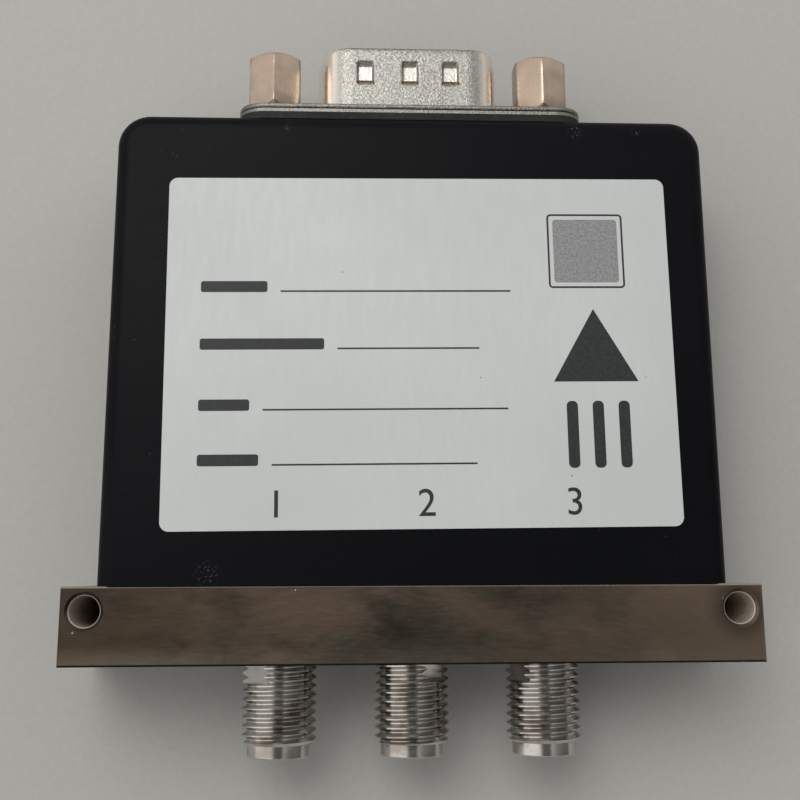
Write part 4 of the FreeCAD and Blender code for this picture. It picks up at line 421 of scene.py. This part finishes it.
MATERIALS = {
    "cover_paint": cover_paint(),
    "label_film": label_film(),
    "plated_body": plated_body(),
    "port_steel": port_steel(),
    "connector_tin": connector_tin(),
    "jackscrew_nickel": jackscrew_nickel(),
    "coil_wire": coil_wire(),
    "board_green": board_green(),
    "black_plastic": plastic(
        "black_plastic", (0.012, 0.012, 0.013), (0.022, 0.022, 0.024), (0.42, 0.58)
    ),
    "gasket_rubber": plastic(
        "gasket_rubber", (0.010, 0.010, 0.010), (0.018, 0.018, 0.018), (0.6, 0.75), 2600, 0.03 * MM, 0.3
    ),
    "dielectric_plastic": plastic(
        "dielectric_plastic", (0.66, 0.65, 0.61), (0.72, 0.71, 0.68), (0.32, 0.42), 1500, 0.01 * MM
    ),
    "coil_plastic": plastic(
        "coil_plastic", (0.42, 0.36, 0.24), (0.50, 0.44, 0.31), (0.35, 0.5), 1400, 0.01 * MM
    ),
    "contact_gold": metal(
        "contact_gold", (0.78, 0.53, 0.20), (0.68, 0.44, 0.16), (0.18, 0.28), 5000
    ),
    "tinned_wire": metal(
        "tinned_wire", (0.60, 0.60, 0.58), (0.50, 0.50, 0.49), (0.26, 0.38), 4200
    ),
    "screw_steel": metal(
        "screw_steel", (0.52, 0.50, 0.48), (0.44, 0.42, 0.40), (0.24, 0.36), 5200, (1, 0.4, 1)
    ),
    "frame_aluminium": metal(
        "frame_aluminium", (0.62, 0.62, 0.62), (0.54, 0.54, 0.55), (0.34, 0.48), 2400, (0.2, 1.6, 1)
    ),
    "soft_iron": metal(
        "soft_iron", (0.34, 0.33, 0.32), (0.26, 0.245, 0.235), (0.36, 0.5), 2200, (0.4, 1.4, 1)
    ),
    "magnet_grey": metal(
        "magnet_grey", (0.40, 0.40, 0.41), (0.33, 0.33, 0.345), (0.3, 0.44), 3000
    ),
    "bronze": metal(
        "bronze", (0.50, 0.30, 0.13), (0.40, 0.235, 0.10), (0.28, 0.42), 2600
    ),
}

for node, finish in finishes.items():
    mesh = nodes[node].data
    mesh.materials.clear()
    mesh.materials.append(MATERIALS[finish])


# ---------------------------------------------------------------------------
# Label print: plain numbers over the ports, ruled lines and blank marks
# ---------------------------------------------------------------------------

INK = label_ink()
TINT = label_tint()
LABEL_CENTRE = Vector((0.6 * MM, 21.38 * MM, LABEL_FRONT))
LABEL_TURN = math.radians(0.45)
PRINT_RISE = 0.012 * MM

# Millimetres from the label's centre, square to its edges.
# A row is its level, the length of its bar and the length of its line.
ROW_START = -18.6
ROWS = ((5.35, 5.6, 19.6), (0.4, 10.4, 12.0), (-4.75, 4.2, 20.5), (-9.3, 5.0, 17.0))
BAR_HEIGHT = 0.95
LINE_HEIGHT = 0.14
LINE_DROP = 0.4
BAR_TO_LINE = 1.1
SQUARE_PLACE = (14.35, 8.5)
SQUARE_BORDER = 6.6
SQUARE_FILL = 5.6
BORDER_LINE = 0.16
BORDER_CORNER = 0.35
TRIANGLE = ((11.15, -2.9), (18.35, -2.9), (14.75, 3.35))
STROKES = (12.6, 14.8, 17.0)
STROKE_LEVEL = -7.35
STROKE_LENGTH = 5.6
PORT_NUMBERS = (("1", -12.1), ("2", 0.25), ("3", 12.5))
NUMBER_LEVEL = -13.0
NUMBER_SIZE = 3.2


def on_label(x, y, z=0.0):
    """A point of the label: x and y in millimetres from its centre, z in metres above it."""
    across = Vector((x * MM, y * MM, 0))
    across.rotate(Euler((0, 0, LABEL_TURN)))
    return LABEL_CENTRE + across + Vector((0, 0, z))


def rounded(cx, cy, width, height, radius, steps=6):
    """Outline of a rounded rectangle on the label."""
    points = []
    for corner, (sx, sy) in enumerate(((1, 1), (-1, 1), (-1, -1), (1, -1))):
        for step in range(steps + 1):
            turn = math.pi / 2 * (corner + step / steps)
            x = cx + sx * (width / 2 - radius) + radius * math.cos(turn)
            y = cy + sy * (height / 2 - radius) + radius * math.sin(turn)
            points.append(on_label(x, y))
    return points


def two_levels(mesh, outline):
    """An outline's vertices on the label's face and at the top of the print."""
    low = [mesh.verts.new(point) for point in outline]
    high = [mesh.verts.new(point + Vector((0, 0, PRINT_RISE))) for point in outline]
    return low, high


def join_rings(mesh, first, second):
    """A band of faces between two rings of as many vertices."""
    count = len(first)
    for index in range(count):
        following = (index + 1) % count
        mesh.faces.new((first[index], first[following], second[following], second[index]))


def prism(mesh, outline):
    """Closed print over an outline on the label."""
    low, high = two_levels(mesh, outline)
    mesh.faces.new(high)
    mesh.faces.new(list(reversed(low)))
    join_rings(mesh, low, high)


def border(mesh, cx, cy, size, radius, line):
    """Printed outline of a square, as wide as its line."""
    outer_low, outer_high = two_levels(mesh, rounded(cx, cy, size, size, radius))
    within = size - 2 * line
    inner_low, inner_high = two_levels(mesh, rounded(cx, cy, within, within, radius - line))
    join_rings(mesh, outer_low, outer_high)
    join_rings(mesh, outer_high, inner_high)
    join_rings(mesh, inner_high, inner_low)
    join_rings(mesh, inner_low, outer_low)


def finish_piece(name, mesh, material):
    """Turns a bmesh into a named piece of one material that rides on the housing."""
    data = bpy.data.meshes.new(name)
    bmesh.ops.recalc_face_normals(mesh, faces=mesh.faces)
    mesh.to_mesh(data)
    mesh.free()
    piece = bpy.data.objects.new(name, data)
    bpy.context.scene.collection.objects.link(piece)
    data.materials.append(material)
    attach(piece, HOUSING)
    return piece


def label_print():
    mesh = bmesh.new()
    for level, bar, line in ROWS:
        prism(mesh, rounded(ROW_START + bar / 2, level, bar, BAR_HEIGHT, 0.2))
        start = ROW_START + bar + BAR_TO_LINE
        prism(mesh, rounded(start + line / 2, level - LINE_DROP, line, LINE_HEIGHT, 0.05))
    border(mesh, *SQUARE_PLACE, SQUARE_BORDER, BORDER_CORNER, BORDER_LINE)
    prism(mesh, [on_label(*corner) for corner in TRIANGLE])
    for x in STROKES:
        prism(mesh, rounded(x, STROKE_LEVEL, BAR_HEIGHT, STROKE_LENGTH, 0.4))
    finish_piece("label_print", mesh, INK)


def label_blank_patch():
    mesh = bmesh.new()
    prism(mesh, rounded(*SQUARE_PLACE, SQUARE_FILL, SQUARE_FILL, 0.25))
    finish_piece("label_blank_patch", mesh, TINT)


def port_number(text, x):
    """One plain number over a port, as a mesh."""
    name = "port_number_" + text
    curve = bpy.data.curves.new(name, "FONT")
    curve.body = text
    curve.size = NUMBER_SIZE * MM
    curve.align_x = "CENTER"
    curve.align_y = "CENTER"
    curve.extrude = PRINT_RISE / 2
    number = bpy.data.objects.new(name, curve)
    bpy.context.scene.collection.objects.link(number)
    number.location = on_label(x, NUMBER_LEVEL, PRINT_RISE / 2)
    number.rotation_euler = (0, 0, LABEL_TURN)
    bpy.context.view_layer.update()
    data = bpy.data.meshes.new_from_object(number)
    data.transform(number.matrix_world)
    bpy.data.objects.remove(number)
    piece = bpy.data.objects.new(name, data)
    bpy.context.scene.collection.objects.link(piece)
    data.materials.clear()
    data.materials.append(INK)
    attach(piece, HOUSING)


label_print()
label_blank_patch()
for text, x in PORT_NUMBERS:
    port_number(text, x)


# ---------------------------------------------------------------------------
# Control connector: drawn front shell and its jackscrews
# ---------------------------------------------------------------------------

# Millimetres: the flange and shell fill the CAD model's front shell
MID_DEPTH = (SHELL_LOW.z + SHELL_HIGH.z) / 2 / MM
FLANGE_BOTTOM = SHELL_LOW.y / MM
FLANGE_TOP = FLANGE_BOTTOM + SHEET / MM
FLANGE_HALF_WIDTH = SHELL_HIGH.x / MM
FLANGE_HALF_DEPTH = (SHELL_HIGH.z - SHELL_LOW.z) / 2 / MM
FLANGE_CORNER = 2.4
FLANGE_EDGE = 0.16
SHELL_TOP = SHELL_HIGH.y / MM
SHELL_HALF_DEPTH = 4.18
SHELL_HALF_BACK = 8.96
SHELL_SLANT = math.radians(10)
SHELL_HALF_FRONT = SHELL_HALF_BACK - 2 * SHELL_HALF_DEPTH * math.tan(SHELL_SLANT)
SHELL_CORNER = 2.6
SHELL_WALL = 0.42
SHELL_FLARE = 0.42
SHELL_LIP = 0.3
OUTER_STEP = 0.09
INNER_STEP = 0.12
AROUND_STEP = 0.11

# The three dents pressed into each long wall, and the slot at each dent's foot
DENT_PLACES = (-4.1, 0.0, 3.7)
DENT_HALF_WIDTH = 0.82
DENT_SIDE = 0.26
DENT_LENGTH = 2.05
DENT_FROM_TOP = 1.24
DENT_DEPTH = 0.30
SLOT_HEIGHT = 0.32
SLOT_DEPTH = 0.62

SCREW_PLACE = 12.495
SCREW_TIP = 37.9
STUD_RADIUS = 1.42
STUD_HOLE_RADIUS = 1.57
HEX_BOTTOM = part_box("lock_washers")[1].y / MM
HEX_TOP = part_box("jackscrews")[1].y / MM
HEX_ACROSS_FLATS = 4.7
HEX_EDGE = 0.02
HEX_CHAMFER_RADIUS = 2.13
BORE_RADIUS = 1.13
BORE_DEPTH = 4.2
SCREW_STEPS = 144


def corner_centre(before, corner, after, radius):
    """Centre of the arc that rounds a convex corner."""
    first = (before - corner).normalized()
    second = (after - corner).normalized()
    half = first.angle(second) / 2
    return corner + (first + second).normalized() * (radius / math.sin(half))


def rounded_outline(corners, radius, inset, arc_steps, side_step):
    """Outline inset from a rounded convex polygon, with the same points at every inset."""
    points = []
    count = len(corners)
    centres = [
        corner_centre(corners[index - 1], corners[index], corners[(index + 1) % count], radius)
        for index in range(count)
    ]
    arcs = []
    for index in range(count):
        into = (corners[index] - corners[index - 1]).normalized()
        out = (corners[(index + 1) % count] - corners[index]).normalized()
        start = math.atan2(-into.x, into.y)
        turn = into.angle(out)
        arc = []
        for step in range(arc_steps + 1):
            angle = start + turn * step / arc_steps
            away = Vector((math.cos(angle), math.sin(angle)))
            arc.append(centres[index] + away * (radius - inset))
        arcs.append(arc)
    for index in range(count):
        points += arcs[index]
        begin = arcs[index][-1]
        end = arcs[(index + 1) % count][0]
        full = (corners[(index + 1) % count] - corners[index]).length
        pieces = max(2, round(full / side_step))
        points += [begin.lerp(end, step / pieces) for step in range(1, pieces)]
    return points


def soft_step(value, width):
    """0 up to 1 over a width, with soft ends."""
    value = min(1.0, max(0.0, value / width))
    return value * value * (3 - 2 * value)


def press_depth(x, y):
    """How far the shell's long walls are pressed in at a point."""
    deepest = 0.0
    high = SHELL_TOP - DENT_FROM_TOP
    low = high - DENT_LENGTH
    for place in DENT_PLACES:
        left = soft_step(x - (place - DENT_HALF_WIDTH), DENT_SIDE)
        right = soft_step((place + DENT_HALF_WIDTH) - x, DENT_SIDE)
        dent = soft_step(y - low, 0.1) * soft_step(high - y, 0.65)
        slot = soft_step(y - (low - SLOT_HEIGHT), 0.1) * soft_step(low + 0.02 - y, 0.08)
        deepest = max(deepest, DENT_DEPTH * left * right * dent, SLOT_DEPTH * left * right * slot)
    return deepest


def add_ring(mesh, outline, y, pressed=False):
    """Vertices over an outline of X and depth, at one height, with the dents if pressed."""
    ring = []
    for point in outline:
        x, z = point
        if pressed and abs(x) < SHELL_HALF_FRONT - 1.2:
            sign = 1 if z > 0 else -1
            z -= sign * press_depth(x, y)
        ring.append(mesh.verts.new((x * MM, y * MM, (MID_DEPTH + z) * MM)))
    return ring


def join_all(mesh, rings):
    for first, second in zip(rings, rings[1:]):
        join_rings(mesh, first, second)


def fill_loops(mesh, *loops):
    """A flat face bounded by several loops of vertices."""
    edges = []
    for loop in loops:
        for index, vertex in enumerate(loop):
            other = loop[(index + 1) % len(loop)]
            edges.append(mesh.edges.get((vertex, other)) or mesh.edges.new((vertex, other)))
    bmesh.ops.triangle_fill(mesh, use_beauty=True, edges=edges)


def corners_of(half_low, half_high, half_depth):
    """Corners of a trapezium, from its back edge to its front edge."""
    return [
        Vector((-half_low, -half_depth)),
        Vector((half_low, -half_depth)),
        Vector((half_high, half_depth)),
        Vector((-half_high, half_depth)),
    ]


def smooth(piece, angle):
    """Smooth shading except at edges sharper than an angle in degrees."""
    for face in piece.data.polygons:
        face.use_smooth = True
    piece.data.set_sharp_from_angle(angle=math.radians(angle))


def flange_rings(mesh):
    """The flange's edge, from its lower face to its upper one."""
    corners = corners_of(FLANGE_HALF_WIDTH, FLANGE_HALF_WIDTH, FLANGE_HALF_DEPTH)
    edge = FLANGE_EDGE
    profile = (
        (FLANGE_BOTTOM, edge),
        (FLANGE_BOTTOM + 0.3 * edge, 0.3 * edge),
        (FLANGE_BOTTOM + edge, 0.0),
        (FLANGE_TOP - edge, 0.0),
        (FLANGE_TOP - 0.3 * edge, 0.3 * edge),
        (FLANGE_TOP, edge),
    )
    return [
        add_ring(mesh, rounded_outline(corners, FLANGE_CORNER, inset, 12, 2.0), y)
        for y, inset in profile
    ]


def wall_rings(mesh, profile):
    """Rings of the drawn wall at each height and inset."""
    corners = corners_of(SHELL_HALF_BACK, SHELL_HALF_FRONT, SHELL_HALF_DEPTH)
    return [
        add_ring(mesh, rounded_outline(corners, SHELL_CORNER, inset, 10, AROUND_STEP), y, True)
        for y, inset in profile
    ]


def outer_profile():
    """Heights and insets of the wall's outside: flare, straight wall, rolled lip."""
    profile = []
    for step in range(5):
        turn = math.pi / 2 * step / 4
        rise = SHELL_FLARE * (1 - math.cos(turn))
        profile.append((FLANGE_TOP + rise, -SHELL_FLARE * (1 - math.sin(turn))))
    y = FLANGE_TOP + SHELL_FLARE
    while y < SHELL_TOP - 0.55:
        y += OUTER_STEP
        profile.append((y, 0.0))
    for step in range(1, 6):
        turn = math.pi / 2 * step / 5
        drop = SHELL_LIP * (1 - math.sin(turn))
        profile.append((SHELL_TOP - drop, SHELL_LIP * (1 - math.cos(turn))))
    return profile


def inner_profile():
    """Heights and insets of the wall's inside, from its lip down to the flange."""
    profile = [(SHELL_TOP - 0.02, SHELL_WALL - 0.03), (SHELL_TOP - 0.12, SHELL_WALL)]
    y = SHELL_TOP - 0.5
    while y > FLANGE_TOP:
        profile.append((y, SHELL_WALL))
        y -= INNER_STEP
    profile.append((FLANGE_BOTTOM, SHELL_WALL))
    return profile


def stud_hole(mesh, side):
    """Rim of a jackscrew's hole at the flange's lower and upper face."""
    turns = [2 * math.pi * step / 32 for step in range(32)]
    circle = [
        Vector((side * SCREW_PLACE + STUD_HOLE_RADIUS * math.cos(a), STUD_HOLE_RADIUS * math.sin(a)))
        for a in turns
    ]
    low, high = (add_ring(mesh, circle, y) for y in (FLANGE_BOTTOM, FLANGE_TOP))
    join_rings(mesh, low, high)
    return low, high


def front_shell():
    mesh = bmesh.new()
    flange = flange_rings(mesh)
    join_all(mesh, flange)
    outer = wall_rings(mesh, outer_profile())
    join_all(mesh, outer)
    inner = wall_rings(mesh, inner_profile())
    join_rings(mesh, outer[-1], inner[0])
    join_all(mesh, inner)
    (left_low, left_high), (right_low, right_high) = (stud_hole(mesh, side) for side in (-1, 1))
    fill_loops(mesh, flange[-1], outer[0], left_high, right_high)
    fill_loops(mesh, flange[0], inner[-1], left_low, right_low)
    piece = finish_piece("front_shell_drawn", mesh, MATERIALS["connector_tin"])
    smooth(piece, 38)
    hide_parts("connector_front_shell")


def hex_reach(angle):
    """Radius of the hexagon with slightly rounded corners, one corner towards the viewer."""
    sector = math.pi / 3
    local = (angle % sector) - sector / 2
    flat = HEX_ACROSS_FLATS / 2 / math.cos(local)
    peak = HEX_ACROSS_FLATS / 2 / math.cos(sector / 2) - HEX_EDGE
    blend = 0.05
    return -blend * math.log(math.exp(-flat / blend) + math.exp(-peak / blend))


def hex_chamfer(angle, slope):
    """How far the chamfered corner falls away at an angle."""
    return max(0.0, hex_reach(angle) - HEX_CHAMFER_RADIUS) * slope


def screw_ring(mesh, centre, radius, level):
    """A ring about a jackscrew's axis. Radius and level are numbers or functions of the angle."""
    ring = []
    for step in range(SCREW_STEPS):
        angle = 2 * math.pi * step / SCREW_STEPS
        r = radius(angle) if callable(radius) else radius
        y = level(angle) if callable(level) else level
        x = centre + r * math.sin(angle)
        z = MID_DEPTH + r * math.cos(angle)
        ring.append(mesh.verts.new((x * MM, y * MM, z * MM)))
    return ring


def screw_profile():
    """Radius and level of each ring, from the thread's tip up to the bottom of the bore."""
    yield 1.1, SCREW_TIP
    yield STUD_RADIUS, SCREW_TIP + 0.3
    yield STUD_RADIUS, HEX_BOTTOM
    yield HEX_CHAMFER_RADIUS - 0.08, HEX_BOTTOM
    yield HEX_CHAMFER_RADIUS, HEX_BOTTOM + 0.12
    yield lambda a: hex_reach(a) - HEX_EDGE, lambda a: HEX_BOTTOM + 0.14 + hex_chamfer(a, 1.25)
    yield hex_reach, lambda a: HEX_BOTTOM + 0.19 + hex_chamfer(a, 1.25)
    for share in (0.25, 0.5, 0.75):
        yield hex_reach, HEX_BOTTOM + 0.8 + share * (HEX_TOP - HEX_BOTTOM - 1.4)
    yield hex_reach, lambda a: HEX_TOP - 0.05 - hex_chamfer(a, 0.62)
    yield lambda a: hex_reach(a) - HEX_EDGE, lambda a: HEX_TOP - hex_chamfer(a, 0.62)
    yield lambda a: min(HEX_CHAMFER_RADIUS, hex_reach(a) - 0.03), HEX_TOP
    yield BORE_RADIUS + 0.15, HEX_TOP
    yield BORE_RADIUS, HEX_TOP - 0.25
    yield BORE_RADIUS, HEX_TOP - BORE_DEPTH


def jackscrews():
    mesh = bmesh.new()
    for side in (-1, 1):
        rings = [
            screw_ring(mesh, side * SCREW_PLACE, radius, level) for radius, level in screw_profile()
        ]
        join_all(mesh, rings)
        mesh.faces.new(rings[0])
        mesh.faces.new(rings[-1])
    piece = finish_piece("jackscrews_turned", mesh, MATERIALS["jackscrew_nickel"])
    smooth(piece, 32)
    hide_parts("jackscrews")


front_shell()
jackscrews()


# ---------------------------------------------------------------------------
# Return springs: still copies of the CAD springs, each between its fixed bushing and its moving rod
# ---------------------------------------------------------------------------


def return_coil(side):
    node = "return_spring_" + side
    coil = bpy.data.objects.new("return_coil_" + side, nodes[node].data.copy())
    bpy.context.scene.collection.objects.link(coil)
    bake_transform(coil)
    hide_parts(node)


for side in ("left", "right"):
    return_coil(side)


# ---------------------------------------------------------------------------
# Floor, light and camera
# ---------------------------------------------------------------------------

FLOOR_REACH = 6.0
ROOM_COLOUR = (1.0, 0.985, 0.96, 1.0)
ROOM_LEVEL = 0.52
ROOM_LOWEST = 0.10

# Camera, solved from the standard parts in the photo: pixels, millimetres and radians
PHOTO_PIXELS = 800
FOCAL_PIXELS = 1219.99
SENSOR_WIDTH = 36.0
SHIFT_DOWN = -0.125
CAMERA_PLACE = (-6.33849, 2.410176, 115.592605)
CAMERA_TURNS = ((-0.006457, "Z"), (0.049548, "Y"), (-0.225072, "X"))


def make_floor():
    """A plain pale floor of fine foam."""
    mesh = bmesh.new()
    bmesh.ops.create_grid(mesh, x_segments=8, y_segments=8, size=FLOOR_REACH)
    data = bpy.data.meshes.new("floor")
    mesh.to_mesh(data)
    mesh.free()
    floor = bpy.data.objects.new("floor", data)
    bpy.context.scene.collection.objects.link(floor)
    net = Net("floor_foam")
    soft = net.noise(1600, 4.0, 0.7)
    base = net.mix(net.ramp(soft, 0.35, 0.65), (0.470, 0.462, 0.442), (0.492, 0.484, 0.462))
    net.set(Base_Color=base, Roughness=0.8)
    net.set(Normal=net.bump(soft, 0.1 * MM, 0.3))
    data.materials.append(net.material)


def make_world():
    """Soft room light: brighter to the upper left and right, dimmer where the viewer stands."""
    world = bpy.data.worlds.new("room")
    bpy.context.scene.world = world
    world.use_nodes = True
    tree = world.node_tree
    background = tree.nodes["Background"]
    place = tree.nodes.new("ShaderNodeTexCoord").outputs["Generated"]

    def lobe(direction, low, high, amount):
        """A soft patch of light about a direction, between two cosines of the angle from it."""
        turn = tree.nodes.new("ShaderNodeVectorMath")
        turn.operation = "DOT_PRODUCT"
        tree.links.new(place, turn.inputs[0])
        turn.inputs[1].default_value = Vector(direction).normalized()
        node = tree.nodes.new("ShaderNodeMapRange")
        node.interpolation_type = "SMOOTHSTEP"
        tree.links.new(turn.outputs["Value"], node.inputs["Value"])
        node.inputs["From Min"].default_value = low
        node.inputs["From Max"].default_value = high
        node.inputs["To Min"].default_value = 0.0
        node.inputs["To Max"].default_value = amount
        return node.outputs["Result"]

    def combine(operation, first, second):
        node = tree.nodes.new("ShaderNodeMath")
        node.operation = operation
        for socket, value in zip(node.inputs, (first, second)):
            if isinstance(value, bpy.types.NodeSocket):
                tree.links.new(value, socket)
            else:
                socket.default_value = value
        return node.outputs[0]

    window_left = lobe((-0.75, 0.35, 0.5), 0.35, 1.0, 0.5)
    window_right = lobe((0.8, 0.55, 0.35), 0.5, 1.0, 0.34)
    dark_right = lobe((0.85, -0.5, 0.25), 0.45, 1.0, 0.6)
    viewer = lobe((-0.05, -0.1, 1.0), 0.915, 0.99, 0.6)
    level = combine("ADD", ROOM_LEVEL, window_left)
    level = combine("ADD", level, window_right)
    level = combine("SUBTRACT", level, dark_right)
    level = combine("SUBTRACT", level, viewer)
    level = combine("MAXIMUM", level, ROOM_LOWEST)
    tree.links.new(level, background.inputs["Strength"])
    background.inputs["Color"].default_value = ROOM_COLOUR


def make_window_light():
    """A square soft light, up and to the left of the part's top edge."""
    data = bpy.data.lights.new("window_light", "AREA")
    data.shape = "RECTANGLE"
    data.size = 0.2
    data.size_y = 0.2
    data.energy = 0.5
    data.color = (1.0, 0.99, 0.97)
    lamp = bpy.data.objects.new("window_light", data)
    bpy.context.scene.collection.objects.link(lamp)
    place = Vector((-0.09, 0.17, 0.36))
    target = Vector((0, 0.02, 0))
    lamp.location = place
    lamp.rotation_euler = (target - place).to_track_quat("-Z", "Y").to_euler()


def make_camera():
    turn = Matrix.Identity(3)
    for angle, axis in CAMERA_TURNS:
        turn = turn @ Matrix.Rotation(angle, 3, axis)
    data = bpy.data.cameras.new("camera")
    data.sensor_width = SENSOR_WIDTH
    data.lens = FOCAL_PIXELS / PHOTO_PIXELS * SENSOR_WIDTH
    data.shift_y = SHIFT_DOWN
    data.clip_start = 5 * MM
    data.dof.use_dof = False
    camera = bpy.data.objects.new("camera", data)
    bpy.context.scene.collection.objects.link(camera)
    place = Matrix.Translation(Vector(CAMERA_PLACE) * MM)
    camera.matrix_world = place @ turn.transposed().to_4x4()
    bpy.context.scene.camera = camera


make_floor()
make_world()
make_window_light()
make_camera()
bpy.context.scene.view_settings.view_transform = "Standard"
